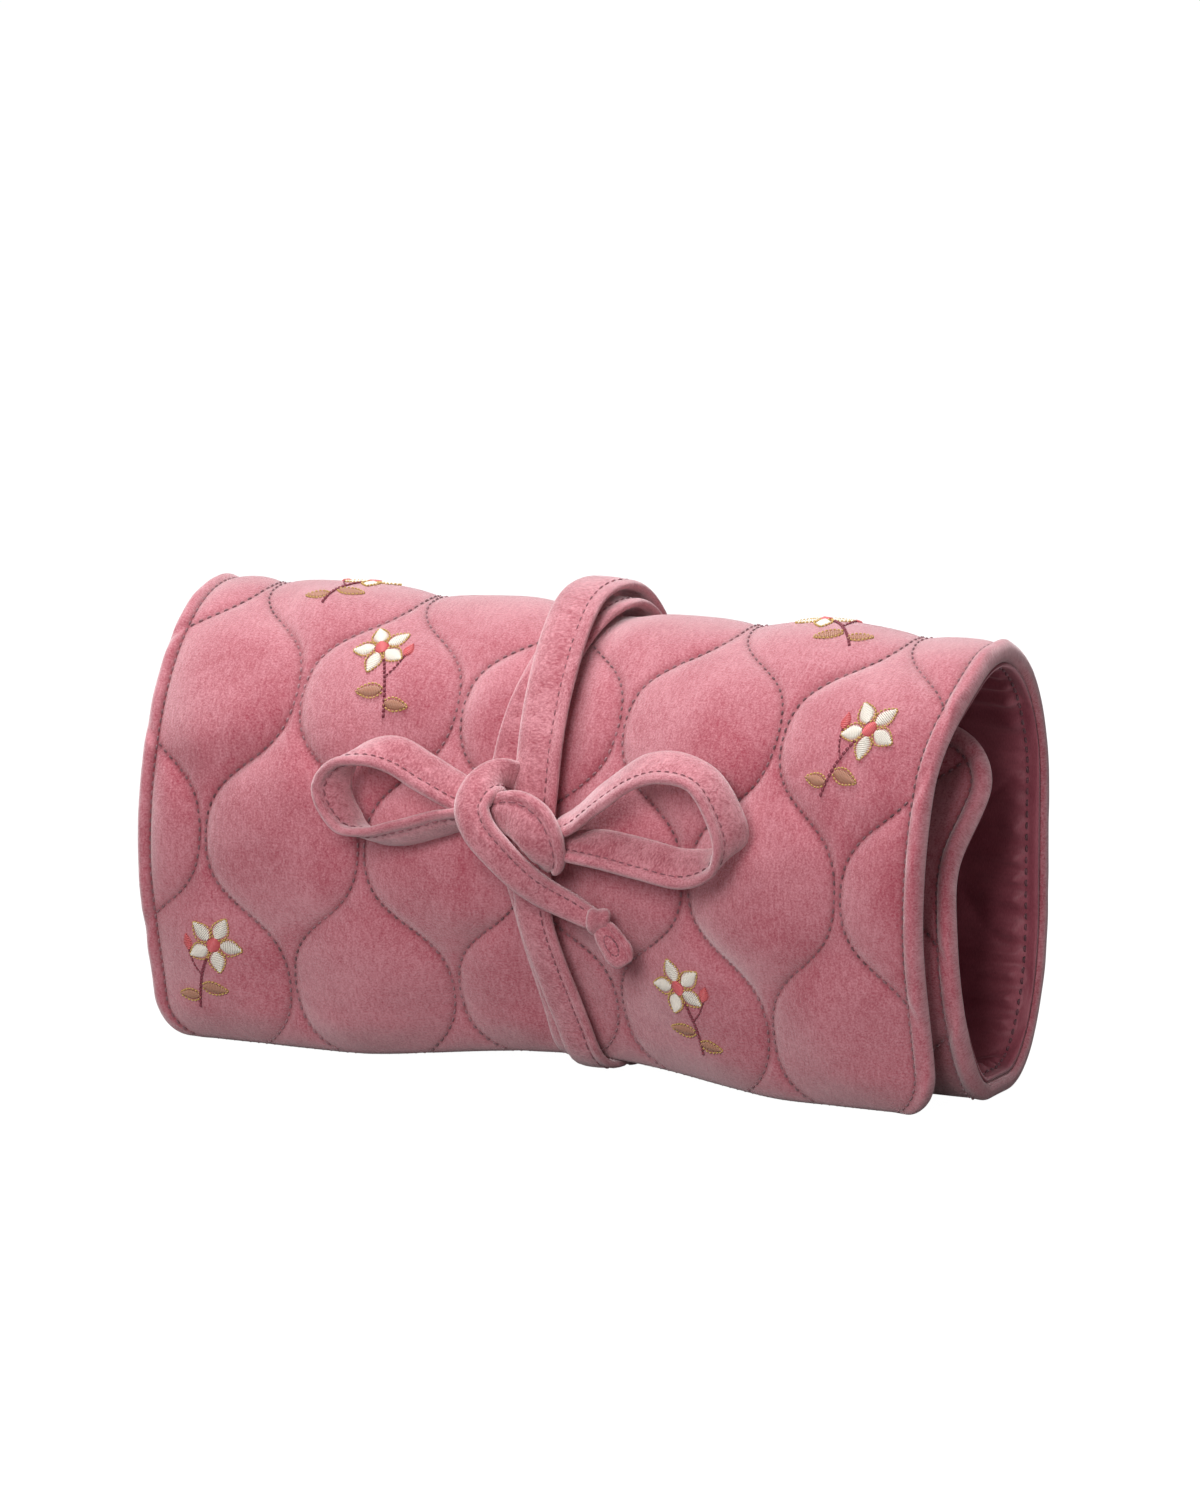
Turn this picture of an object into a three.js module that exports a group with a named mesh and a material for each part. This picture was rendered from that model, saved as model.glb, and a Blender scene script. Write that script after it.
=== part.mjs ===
// Quilted velvet jewelry roll, rolled shut and tied with a bow.
// Millimetres, +Z up. X runs along the roll, the front flap faces -Y, the base stands on Z = 0.
import * as THREE from 'three';
import { RoundedBoxGeometry } from 'three/addons/geometries/RoundedBoxGeometry.js';

// The rolled section. A setback is measured from the front of the roll towards its back.
const PANEL_LENGTH = 220;
const CORNER_RADIUS = 17;
const ROLL_DEPTH = 71.5;
const CREST_HEIGHT = 112.5;
const CREST_SETBACK = 42.5;
const BELLY_HEIGHT = 50;
const HEM_SETBACK = 9;
const TUCK_SETBACK = 16.5;
const TUCK_HEIGHT = 2.2;
const TUCK_DIP = 4.8;
const BACK_TOP = 73;
const BACK_FOOT = 43;
const BASE_BACK = 48;
const BASE_FRONT = 37;
const INNER_BELLY_SETBACK = 13.5;
const INNER_BELLY_HEIGHT = 40;
const INNER_HEM_SETBACK = 38;
const INNER_HEM_HEIGHT = 93;
const INNER_RISE_HANDLE = 12;
const INNER_LEAN_HANDLE = 22;

// Where the sheet turns when it unrolls, as lengths of sheet either side of the crest and before
// the inner flap's belly.
const TOP_FRONT_REACH = 40;
const TOP_BACK_REACH = 28;
const INNER_HINGE_REACH = 22;

// The sandwich, from the outside in, and the space left between touching pieces.
const VELVET = 1.2;
const WADDING = 2.7;
const LINING = 0.8;
const CLEARANCE = 0.3;
const ROW_STEP = 9;

// Ogee quilting: wavy lines that lean towards each other in pairs.
const QUILT_PITCH = 22.25;
const QUILT_PERIOD = 76;
const QUILT_SWING = 10.3;
const QUILT_ROW_BEFORE_CREST = 39.68;
const QUILT_CENTRE = 20.5;
const PUFF = 3.2;
const QUILT_EDGE_BAND = 24;
const HEM_FLATTENED = 12;
const BASE_FLATTENED = 25;

// The tie pulls the roll in at the middle of its length, most of all at the base.
const PINCH_X = 5;
const PINCH_REACH = 64;
const TIE_PRESS_REACH = 30;
const BASE_PINCH = 6.8;
const CREST_PINCH = 1;
const HEM_LIFT = 6.5;
const HEM_LIFT_HEIGHT = 44;

// The tie: two strands of flat strap, the upper one lying over the lower one and both bunched
// narrower below the bow. Each route is a list of [distance round the roll, X, width].
const TIE_THICKNESS = 2.2;
const TIE_SEAT = 0.8;
const TIE_LAP = 0.5;
const TIE_DROP = 5.6;
const TIE_UNDER_ROUTE = [
  [-6, 6.5, 9], [45, 0, 9], [75, -7, 10], [95, -4, 11], [137, 3, 13], [240, 5, 12], [320, 6.5, 10],
];
const TIE_OVER_ROUTE = [
  [-6, 12, 9.5], [45, 2.4, 9.5], [75, 2.6, 12], [105, 1, 13],
  [128, -1.2, 13], [142, 1, 13], [240, 8, 12], [320, 12, 10],
];

// The bow, in its own frame: X along the roll, -Y away from it, Z up the front. The last three
// numbers of a loop's point give the direction of the strap's width there.
const KNOT_X = 1.5;
const KNOT_BEFORE_CREST = 61.68;
const BOW_LEAN = -0.12;
const BOW_WIDTH = 9.5;
const BOW_THICKNESS = 2.4;
const TURN_WIDTH = 9;
const TAIL_WIDTH = 8;
const WRAP_WIDTH = 9;
const WRAP_THICKNESS = 3.4;
const TIP_SIZE = [9, 5, 13];
const TIP_ROUND = 2.4;
const LEFT_LOOP = [
  [-10, -2.9, -1, 0, -1, -0.1], [-16.4, -3.8, 0.8, 0, -0.95, -0.3], [-25.8, -6.5, 5.2, 0, -0.7, -0.7],
  [-33.9, -7.5, 9.1, 0, -0.6, -0.8], [-40.6, -8, 9.3, 0, -0.75, -0.65], [-47.3, -8.2, 6.3, 0, -0.95, -0.3],
  [-51, -8, -0.6, 0, -1, 0], [-46.3, -7, -8.8, 0, -0.95, 0.3], [-39.5, -6.3, -11.3, 0, -0.85, 0.55],
  [-32.6, -6.3, -10.4, 0, -0.8, 0.6], [-21.7, -5.2, -7.4, 0, -0.95, 0.3], [-14.5, -3.4, -5.8, 0, -1, 0],
  [-10, -2.9, -5.6, 0, -1, 0],
];
const RIGHT_LOOP = [
  [11, -0.6, -4.4, 0, -1, -0.1], [15.5, -1.6, -2, 0, -0.95, -0.3], [22.3, -4.2, 3.3, 0, -0.8, -0.6],
  [33.5, -7, 10.8, 0, -0.75, -0.65], [41.9, -8, 12.3, 0, -0.8, -0.6], [50.4, -8.3, 10, 0, -0.9, -0.4],
  [56.6, -8.2, 1.9, 0, -0.95, -0.3], [58.3, -7.6, -4.2, 0, -0.9, -0.4], [54.5, -6.6, -9.5, 0, -0.75, -0.65],
  [46.1, -6, -12.3, 0, -0.6, -0.8], [33.5, -5.6, -10.9, 0, -0.6, -0.8], [22.3, -3.6, -10, 0, -0.85, -0.5],
  [15.5, -1.6, -10.2, 0, -1, -0.1], [11, -0.6, -10.4, 0, -1, 0],
];
const LEFT_TURN = [
  [-3.6, -2, 7.4], [-6.6, -5.5, 7.4], [-10.2, -9.2, 4.2],
  [-11.7, -11.2, -1.1], [-8.7, -12, -6.3], [-3, -12, -11.7],
];
const TAIL = [
  [-2.6, -12, -12.1], [2.9, -9.4, -17.4], [7.5, -4.6, -21.6], [13.2, -1.2, -24.8], [18.5, 0.4, -27.5],
];
const WRAP = [[-5.2, -7.4, -2.6], [0.8, -8.2, -1.3], [6.3, -8.6, -3.2], [9.6, -8.5, -8], [10.3, -8.1, -10.8]];

// Zip pocket on the lining of the back.
const POCKET_END_GAP = 10;
const POCKET_LENGTH = 70;
const POCKET_TOP_GAP = 1.5;
const POCKET_HEIGHT = 27;
const POCKET_SHEET = 1;
const ZIP_TAPE_HEIGHT = 4;
const ZIP_TAPE_SHEET = 0.7;
const ZIP_SLOT = 0.8;
const ZIP_COIL = 1.6;
const ZIP_SLIDER_SIZE = [9, 2.4, 7];
const ZIP_SLIDER_CLEARANCE = 0.7;
const ZIP_SLIDER_START = 10;
const ZIP_STOP_LENGTH = 2;
const ZIP_PULL_SIZE = [5, 1.2, 15];

// Ring bar on the lining of the back, held by a sewn tab and a press stud.
const RING_BAR_END_GAP = 28;
const RING_BAR_LENGTH = 46;
const RING_BAR_RADIUS = 6;
const RING_BAR_DROP = 11;
const RING_BAR_SEAT = 0.5;
const RING_TAB_LENGTH = 6;
const RING_TAB_HEIGHT = 10;
const STUD_RADIUS = 4;
const STUD_HEIGHT = 1.5;
const SOCKET_HEIGHT = 1.6;
const STUD_SETBACK = 8;
const STUD_TAB_SHEET = 1.2;

const velvet = new THREE.MeshStandardMaterial({ color: 0xc47c8a, roughness: 0.9, metalness: 0 });
const wadding = new THREE.MeshStandardMaterial({ color: 0xe9e4dc, roughness: 1, metalness: 0 });
const lining = new THREE.MeshStandardMaterial({ color: 0x7d4553, roughness: 0.55, metalness: 0 });
const strap = new THREE.MeshStandardMaterial({ color: 0xbd7483, roughness: 0.9, metalness: 0 });
const zipTape = new THREE.MeshStandardMaterial({ color: 0x8d5461, roughness: 0.8, metalness: 0 });
const zipNylon = new THREE.MeshStandardMaterial({ color: 0x9c6470, roughness: 0.5, metalness: 0 });
const brass = new THREE.MeshStandardMaterial({ color: 0xd9b98a, roughness: 0.3, metalness: 1 });

const roll = new THREE.Group();

function addPiece(name, geometry, material, parent = roll) {
  const mesh = new THREE.Mesh(geometry, material);
  mesh.name = name;
  parent.add(mesh);
  return mesh;
}

function smoothstep(t) {
  return THREE.MathUtils.smoothstep(t, 0, 1);
}

// The section's course in (setback, height), from the flap's hem up the front, over the crest, down
// the back and along the base. Marks hold the distance along it at which each stretch ends.
// The flap's hem is tucked back under; the tie goes straight down past it.
const marks = {};
const tieMarks = {};

function outerCourse(marks, tucked) {
  const course = new THREE.Path();
  if (tucked) {
    const join = new THREE.Vector2(HEM_SETBACK * 0.896, BELLY_HEIGHT / 5);
    const rise = new THREE.Vector2(HEM_SETBACK * 0.64, (BELLY_HEIGHT * 7) / 15);
    const fall = join.clone().multiplyScalar(5).addScaledVector(rise, -2).divideScalar(3);
    course.moveTo(TUCK_SETBACK, TUCK_HEIGHT);
    course.bezierCurveTo(TUCK_SETBACK - 3, TUCK_HEIGHT - TUCK_DIP, fall.x, fall.y, join.x, join.y);
    marks.tuck = course.getLength();
    course.bezierCurveTo(rise.x, rise.y, 0, (BELLY_HEIGHT * 11) / 15, 0, BELLY_HEIGHT);
  } else {
    course.moveTo(HEM_SETBACK, 0);
    course.bezierCurveTo(HEM_SETBACK, BELLY_HEIGHT / 3, 0, (BELLY_HEIGHT * 2) / 3, 0, BELLY_HEIGHT);
  }
  const frontRise = CREST_HEIGHT - BELLY_HEIGHT;
  course.absellipse(CREST_SETBACK, BELLY_HEIGHT, CREST_SETBACK, frontRise, Math.PI, Math.PI / 2, true);
  marks.crest = course.getLength();
  const backReach = ROLL_DEPTH - CREST_SETBACK;
  course.absellipse(CREST_SETBACK, BACK_TOP, backReach, CREST_HEIGHT - BACK_TOP, Math.PI / 2, 0, true);
  marks.backTop = course.getLength();
  course.lineTo(ROLL_DEPTH, BACK_FOOT);
  marks.backFoot = course.getLength();
  course.absellipse(BASE_BACK, BACK_FOOT, ROLL_DEPTH - BASE_BACK, BACK_FOOT, 0, -Math.PI / 2, true);
  marks.baseBack = course.getLength();
  course.lineTo(BASE_FRONT, 0);
  marks.baseFront = course.getLength();
  return course;
}

// The sheet goes on from the base up into the roll as the inner flap, which leans back to its hem.
const sheetCourse = outerCourse(marks, true);
sheetCourse.bezierCurveTo(
  BASE_FRONT - INNER_RISE_HANDLE, 0,
  INNER_BELLY_SETBACK, INNER_BELLY_HEIGHT - INNER_RISE_HANDLE,
  INNER_BELLY_SETBACK, INNER_BELLY_HEIGHT,
);
marks.innerBelly = sheetCourse.getLength();
sheetCourse.bezierCurveTo(
  INNER_BELLY_SETBACK, INNER_BELLY_HEIGHT + INNER_LEAN_HANDLE,
  INNER_HEM_SETBACK, INNER_HEM_HEIGHT - INNER_LEAN_HANDLE,
  INNER_HEM_SETBACK, INNER_HEM_HEIGHT,
);
marks.innerHem = sheetCourse.getLength();

// The tie goes straight on along the base to the flap's hem instead.
const tieCourse = outerCourse(tieMarks, false);
tieCourse.lineTo(HEM_SETBACK, 0);

// Place and outward direction at a distance along a course; before its start it runs straight on.
function station(course, distance) {
  const whole = course.getLength();
  const step = 0.05;
  const at = THREE.MathUtils.clamp(distance, 0, whole);
  const before = course.getPoint(Math.max(at - step, 0) / whole);
  const after = course.getPoint(Math.min(at + step, whole) / whole);
  const along = after.sub(before).normalize();
  const place = course.getPoint(at / whole).addScaledVector(along, distance - at);
  return { y: place.x - ROLL_DEPTH / 2, z: place.y, outY: -along.y, outZ: along.x };
}

function pinch(x) {
  return Math.max(1 - ((x - PINCH_X) / PINCH_REACH) ** 2, 0) ** 2;
}

// A point of the roll: X, distance along the course, and height above the quilting's grooves. The
// tie pulls the tucked hem back as a whole.
function onRoll(x, distance, out, course = sheetCourse) {
  const { y, z, outY, outZ } = station(course, distance);
  const pull = station(course, course === sheetCourse ? Math.max(distance, marks.tuck) : distance);
  const depth = CREST_PINCH + (BASE_PINCH - CREST_PINCH) * Math.max(1 - z / CREST_HEIGHT, 0) ** 1.5;
  const back = depth * pinch(x);
  const lift = distance < tieMarks.crest ? HEM_LIFT * pinch(x) * (1 - smoothstep(z / HEM_LIFT_HEIGHT)) : 0;
  return new THREE.Vector3(x, y + outY * out - pull.outY * back, z + outZ * out - pull.outZ * back + lift);
}

// A closed body through a row of rings. Each ring runs along one face and back along the other, and
// faceCount is the number of points on the first; the ends are filled strip by strip.
function loft(rings, faceCount) {
  const size = rings[0].length;
  const triangles = [];
  for (let r = 1; r < rings.length; r += 1) {
    for (let k = 0; k < size; k += 1) {
      const next = (k + 1) % size;
      const a = (r - 1) * size;
      const b = r * size;
      triangles.push([a + k, a + next, b + next], [a + k, b + next, b + k]);
    }
  }
  const shares = (ring, order) => {
    const lengths = order.map((k, i) => (i === 0 ? 0 : ring[k].distanceTo(ring[order[i - 1]])));
    const sums = lengths.map((_, i) => lengths.slice(0, i + 1).reduce((sum, length) => sum + length, 0));
    return sums.map((sum) => sum / sums[sums.length - 1]);
  };
  const fillEnd = (r, turned) => {
    const face = Array.from({ length: faceCount }, (_, k) => k);
    const other = Array.from({ length: size - faceCount }, (_, k) => size - 1 - k);
    const faceShares = shares(rings[r], face);
    const otherShares = shares(rings[r], other);
    let i = 0;
    let j = 0;
    while (i < face.length - 1 || j < other.length - 1) {
      const faceIsNext = i < face.length - 1 && faceShares[i + 1] <= otherShares[j + 1];
      const stepFace = j === other.length - 1 || faceIsNext;
      const third = stepFace ? face[i + 1] : other[j + 1];
      const corner = [face[i], other[j], third].map((k) => r * size + k);
      triangles.push(turned ? corner.reverse() : corner);
      if (stepFace) i += 1;
      else j += 1;
    }
  };
  fillEnd(0, false);
  fillEnd(rings.length - 1, true);
  const points = rings.flat();
  const volume = triangles.reduce((sum, [a, b, c]) => {
    const face = new THREE.Vector3().crossVectors(points[b], points[c]);
    return sum + points[a].dot(face);
  }, 0);
  const faces = volume < 0 ? triangles.map(([a, b, c]) => [a, c, b]) : triangles;
  const geometry = new THREE.BufferGeometry();
  geometry.setAttribute('position', new THREE.Float32BufferAttribute(points.flatMap((p) => p.toArray()), 3));
  geometry.setIndex(faces.flat());
  geometry.computeVertexNormals();
  return geometry;
}

// Rows from one distance to another, with the tuck's bend and the base's two edges always among them.
function rowsBetween(from, to, { tuck = 0, baseBack, baseFront } = marks) {
  const edges = [tuck * 0.2, tuck * 0.4, tuck * 0.6, tuck, baseBack, baseFront];
  const stops = edges.filter((stop) => stop > Math.max(from, 0) && stop < to);
  const rows = [from];
  for (const stop of [...stops, to]) {
    const start = rows[rows.length - 1];
    const count = Math.ceil((stop - start) / ROW_STEP);
    for (let k = 1; k <= count; k += 1) rows.push(start + ((stop - start) * k) / count);
  }
  return rows;
}

// Half of the panel's length at a row: the hems' corners are rounded.
function halfLength(distance) {
  const fromHem = Math.min(distance, marks.innerHem - distance);
  const cut = Math.max(CORNER_RADIUS - fromHem, 0);
  return PANEL_LENGTH / 2 - CORNER_RADIUS + Math.sqrt(CORNER_RADIUS ** 2 - cut ** 2);
}

// Columns for the plain faces, closer together where the tie pulls the sheet in.
function plainColumns(distance) {
  const half = halfLength(distance);
  const inner = [-1, -0.75, -0.5, -0.25, 0, 0.25, 0.5, 0.75, 1].map((share) => PINCH_X + share * PINCH_REACH);
  return [-half, ...inner, half];
}

// A quilting line's X: pairs of lines swing towards each other at every other row.
function quiltLine(index, distance) {
  const side = index % 2 === 0 ? -1 : 1;
  const turn = (2 * Math.PI * (distance - marks.crest + QUILT_ROW_BEFORE_CREST)) / QUILT_PERIOD;
  const wave = Math.tanh(1.2 * Math.cos(turn)) / Math.tanh(1.2);
  return QUILT_CENTRE + QUILT_PITCH * (index + 0.5) + side * QUILT_SWING * wave;
}

// Lines that would leave the panel are drawn in before its edge.
function insideEdge(x, half) {
  const start = half - QUILT_EDGE_BAND;
  const past = Math.max(Math.abs(x) - start, 0);
  const kept = Math.abs(x) - past;
  return Math.sign(x) * (kept + QUILT_EDGE_BAND * (1 - Math.exp(-past / QUILT_EDGE_BAND)));
}

// Columns of the quilted face as [X, height]: on each line the sheet is sewn down, between two it
// puffs, more where they stand apart. The tie, the hems and the base press the puffs flat.
function quiltColumns(distance) {
  const half = halfLength(distance);
  const first = Math.ceil((-PANEL_LENGTH / 2 - QUILT_CENTRE) / QUILT_PITCH - 0.5);
  const last = Math.floor((PANEL_LENGTH / 2 - QUILT_CENTRE) / QUILT_PITCH - 0.5);
  const lines = [-half];
  for (let index = first; index <= last; index += 1) lines.push(insideEdge(quiltLine(index, distance), half));
  lines.push(half);
  const fromHem = Math.min(distance, marks.innerHem - distance);
  const fromBase = Math.max(marks.baseBack - distance, distance - marks.baseFront, 0);
  const pressed = smoothstep(fromHem / HEM_FLATTENED) * smoothstep(fromBase / BASE_FLATTENED);
  const widest = QUILT_PITCH + 2 * QUILT_SWING;
  const columns = [[lines[0], 0]];
  for (let k = 1; k < lines.length; k += 1) {
    const x = (lines[k - 1] + lines[k]) / 2;
    const gap = (lines[k] - lines[k - 1]) / widest;
    const underTie = Math.exp(-(((x - PINCH_X) / TIE_PRESS_REACH) ** 4));
    columns.push([x, PUFF * gap ** 0.8 * pressed * (1 - underTie)], [lines[k], 0]);
  }
  return columns;
}

// A sheet between two heights above the grooves, over part of the panel's length or all of it.
function sheet(from, to, outer, inner, columnsAt = plainColumns) {
  const rings = rowsBetween(from, to).map((distance) => {
    const columns = columnsAt(distance);
    const face = columns.map((x) => onRoll(x, distance, outer));
    const back = columns.map((x) => onRoll(x, distance, inner)).reverse();
    return [...face, ...back];
  });
  return loft(rings, rings[0].length / 2);
}

function quiltedSheet(from, to) {
  let faceCount = 0;
  const rings = rowsBetween(from, to).map((distance) => {
    const face = quiltColumns(distance).map(([x, puff]) => onRoll(x, distance, puff));
    const back = plainColumns(distance).map((x) => onRoll(x, distance, -VELVET)).reverse();
    faceCount = face.length;
    return [...face, ...back];
  });
  return loft(rings, faceCount);
}

// The panel, in the five lengths between its turning lines.
const turns = {
  front: marks.crest - TOP_FRONT_REACH,
  crest: marks.crest,
  back: marks.crest + TOP_BACK_REACH,
  inner: marks.innerBelly - INNER_HINGE_REACH,
};
const lengths = [
  { body: 'front', from: 0, to: turns.front },
  { body: 'top_front', from: turns.front, to: turns.crest },
  { body: 'top_back', from: turns.crest, to: turns.back },
  { body: 'back', from: turns.back, to: turns.inner },
  { body: 'inner', from: turns.inner, to: marks.innerHem },
];
const waddingTop = -VELVET - CLEARANCE;
const liningTop = waddingTop - WADDING - CLEARANCE;
const liningFace = liningTop - LINING;

for (const { body, from, to } of lengths) {
  const start = from === 0 ? 0 : from + CLEARANCE / 2;
  const end = to === marks.innerHem ? to : to - CLEARANCE / 2;
  addPiece(`${body}_velvet`, quiltedSheet(start, end), velvet);
  addPiece(`${body}_wadding`, sheet(start, end, waddingTop, waddingTop - WADDING), wadding);
  addPiece(`${body}_lining`, sheet(start, end, liningTop, liningFace), lining);
}

// The tie's strands, cut at the same turning lines. The back's lengths run on under the hem and
// stop behind the front's, which come down past it.
function routeAt(route, distance) {
  const k = Math.max(route.findIndex(([at]) => at >= distance), 1);
  const [fromAt, ...before] = route[k - 1];
  const [toAt, ...after] = route[k];
  return before.map((value, i) => THREE.MathUtils.mapLinear(distance, fromAt, toAt, value, after[i]));
}

function strand(route, from, to, seat) {
  const rings = rowsBetween(from, to, tieMarks).map((distance) => {
    const [middle, width] = routeAt(route, distance);
    const across = [-width / 2, 0, width / 2].map((offset) => middle + offset);
    const face = across.map((x) => onRoll(x, distance, seat + TIE_THICKNESS, tieCourse));
    const back = across.map((x) => onRoll(x, distance, seat, tieCourse)).reverse();
    return [...face, ...back];
  });
  return loft(rings, 3);
}

const tieCorner = HEM_SETBACK + BASE_PINCH;
const tieFront = tieMarks.crest - TOP_FRONT_REACH;
const tieBack = tieMarks.crest + TOP_BACK_REACH;
const tieLengths = [
  { body: 'front', from: -TIE_DROP, to: tieFront - CLEARANCE / 2 },
  { body: 'top_front', from: tieFront + CLEARANCE / 2, to: tieMarks.crest - CLEARANCE / 2 },
  { body: 'top_back', from: tieMarks.crest + CLEARANCE / 2, to: tieBack - CLEARANCE / 2 },
  { body: 'back', from: tieBack + CLEARANCE / 2, to: tieMarks.baseFront + BASE_FRONT - tieCorner },
];
const overSeat = TIE_SEAT + TIE_THICKNESS + TIE_LAP;
const tieStack = overSeat + TIE_THICKNESS;
for (const { body, from, to } of tieLengths) {
  addPiece(`tie_under_${body}`, strand(TIE_UNDER_ROUTE, from, to, TIE_SEAT), strap);
  addPiece(`tie_over_${body}`, strand(TIE_OVER_ROUTE, from, to, overSeat), strap);
}

// The bow, on the upper strand at the front.
const bow = new THREE.Group();
bow.position.copy(onRoll(KNOT_X, marks.crest - KNOT_BEFORE_CREST, tieStack + CLEARANCE));
bow.rotation.x = BOW_LEAN;
roll.add(bow);

function smoothCurve(points) {
  const places = points.map(([x, y, z]) => new THREE.Vector3(x, y, z));
  return new THREE.CatmullRomCurve3(places, false, 'centripetal');
}

// A flat band along a smooth curve, with its width along a direction given for each tangent.
function band(points, width, thickness, widthAlong, steps) {
  const curve = smoothCurve(points);
  const rings = Array.from({ length: steps + 1 }, (_, k) => {
    const place = curve.getPointAt(k / steps);
    const tangent = curve.getTangentAt(k / steps);
    const wide = widthAlong(tangent, curve.getUtoTmapping(k / steps) * (points.length - 1));
    wide.addScaledVector(tangent, -wide.dot(tangent)).setLength(width / 2);
    const thick = new THREE.Vector3().crossVectors(tangent, wide).setLength(thickness / 2);
    return [[1, 1], [-1, 1], [-1, -1], [1, -1]].map(([side, face]) =>
      place.clone().addScaledVector(wide, side).addScaledVector(thick, face));
  });
  return loft(rings, 2);
}

const standing = (points) => (_, at) => {
  const k = Math.min(Math.floor(at), points.length - 2);
  const [before, after] = [points[k], points[k + 1]].map((p) => new THREE.Vector3(...p.slice(3)));
  return before.lerp(after, at - k);
};
const lyingFlat = (tangent) => new THREE.Vector3().crossVectors(tangent, new THREE.Vector3(0, 1, 0));
const addBand = (name, points, width, thickness, widthAlong, steps) =>
  addPiece(name, band(points, width, thickness, widthAlong, steps), strap, bow);
addBand('bow_loop_left', LEFT_LOOP, BOW_WIDTH, BOW_THICKNESS, standing(LEFT_LOOP), 32);
addBand('bow_loop_right', RIGHT_LOOP, BOW_WIDTH, BOW_THICKNESS, standing(RIGHT_LOOP), 32);
addBand('bow_turn', LEFT_TURN, TURN_WIDTH, BOW_THICKNESS, lyingFlat, 16);
addBand('bow_tail', TAIL, TAIL_WIDTH, BOW_THICKNESS, lyingFlat, 16);
addBand('bow_knot', WRAP, WRAP_WIDTH, WRAP_THICKNESS, lyingFlat, 16);

// The tail ends in a small knot, in line with its last stretch.
const tailCurve = smoothCurve(TAIL);
const tailEnd = tailCurve.getTangentAt(1);
const tip = addPiece('bow_tail_tip', new RoundedBoxGeometry(...TIP_SIZE, 2, TIP_ROUND), strap, bow);
tip.quaternion.setFromUnitVectors(new THREE.Vector3(0, 0, -1), tailEnd);
tip.position.copy(tailCurve.getPointAt(1)).addScaledVector(tailEnd, CLEARANCE + TIP_SIZE[2] / 2);

// The zip pocket, flat on the back's lining below the crest's curve.
const pocketLeft = POCKET_END_GAP - PANEL_LENGTH / 2;
const pocketRight = pocketLeft + POCKET_LENGTH;

function pocketColumns() {
  const columns = plainColumns(marks.backTop).filter((x) => x > pocketLeft && x < pocketRight);
  return [pocketLeft, ...columns, pocketRight];
}

const tapeTop = marks.backTop + POCKET_TOP_GAP;
const tapeSlot = tapeTop + ZIP_TAPE_HEIGHT;
const tapeFoot = tapeSlot + ZIP_SLOT + ZIP_TAPE_HEIGHT;
const coilLine = tapeSlot + ZIP_SLOT / 2;
const pocketSeat = liningFace - CLEARANCE;
const tapeFace = pocketSeat - ZIP_TAPE_SHEET;
const coilSeat = tapeFace - CLEARANCE;
const coilFace = coilSeat - ZIP_COIL;
addPiece('zip_tape_upper', sheet(tapeTop, tapeSlot, pocketSeat, tapeFace, pocketColumns), zipTape);
const lowerTape = sheet(tapeSlot + ZIP_SLOT, tapeFoot, pocketSeat, tapeFace, pocketColumns);
addPiece('zip_tape_lower', lowerTape, zipTape);
const pocketHem = tapeTop + POCKET_HEIGHT;
const pocketTop = tapeFoot + CLEARANCE;
const pocketSheet = sheet(pocketTop, pocketHem, pocketSeat, pocketSeat - POCKET_SHEET, pocketColumns);
addPiece('pocket_panel', pocketSheet, lining);

function coilColumns() {
  const columns = pocketColumns();
  columns[0] += ZIP_STOP_LENGTH + CLEARANCE;
  columns[columns.length - 1] -= ZIP_STOP_LENGTH + CLEARANCE;
  return columns;
}

const coilFrom = coilLine - ZIP_COIL / 2;
const coilTo = coilLine + ZIP_COIL / 2;
addPiece('zip_coil', sheet(coilFrom, coilTo, coilSeat, coilFace, coilColumns), zipNylon);
const stops = { left: pocketLeft, right: pocketRight - ZIP_STOP_LENGTH };
for (const [side, x] of Object.entries(stops)) {
  const stopColumns = () => [x, x + ZIP_STOP_LENGTH];
  addPiece(`zip_stop_${side}`, sheet(coilFrom, coilTo, coilSeat, coilFace, stopColumns), brass);
}

const slider = addPiece('zip_slider', new RoundedBoxGeometry(...ZIP_SLIDER_SIZE, 1, 0.8), brass);
const sliderSeat = onRoll(pocketLeft + ZIP_SLIDER_START, coilLine, coilFace - ZIP_SLIDER_CLEARANCE);
slider.position.copy(sliderSeat).y -= ZIP_SLIDER_SIZE[1] / 2;
const pull = addPiece('zip_pull', new RoundedBoxGeometry(...ZIP_PULL_SIZE, 1, 0.5), brass);
pull.position.copy(sliderSeat);
pull.position.y -= ZIP_SLIDER_SIZE[1] + CLEARANCE + ZIP_PULL_SIZE[1] / 2;
pull.position.z -= ZIP_PULL_SIZE[2] / 2 - ZIP_SLIDER_SIZE[2] / 2;

// The ring bar, a padded rod along X that stands off the lining between its two tabs.
const barLeft = PANEL_LENGTH / 2 - RING_BAR_END_GAP - RING_BAR_LENGTH;
const barStation = marks.backTop + RING_BAR_DROP;
const barAxis = onRoll(barLeft, barStation, liningFace - RING_BAR_SEAT - RING_BAR_RADIUS);
const barRod = new THREE.CapsuleGeometry(RING_BAR_RADIUS, RING_BAR_LENGTH - 2 * RING_BAR_RADIUS, 4, 14);
const bar = addPiece('ring_bar', barRod, velvet);
bar.rotation.z = Math.PI / 2;
bar.position.copy(barAxis).x += RING_BAR_LENGTH / 2;

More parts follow.
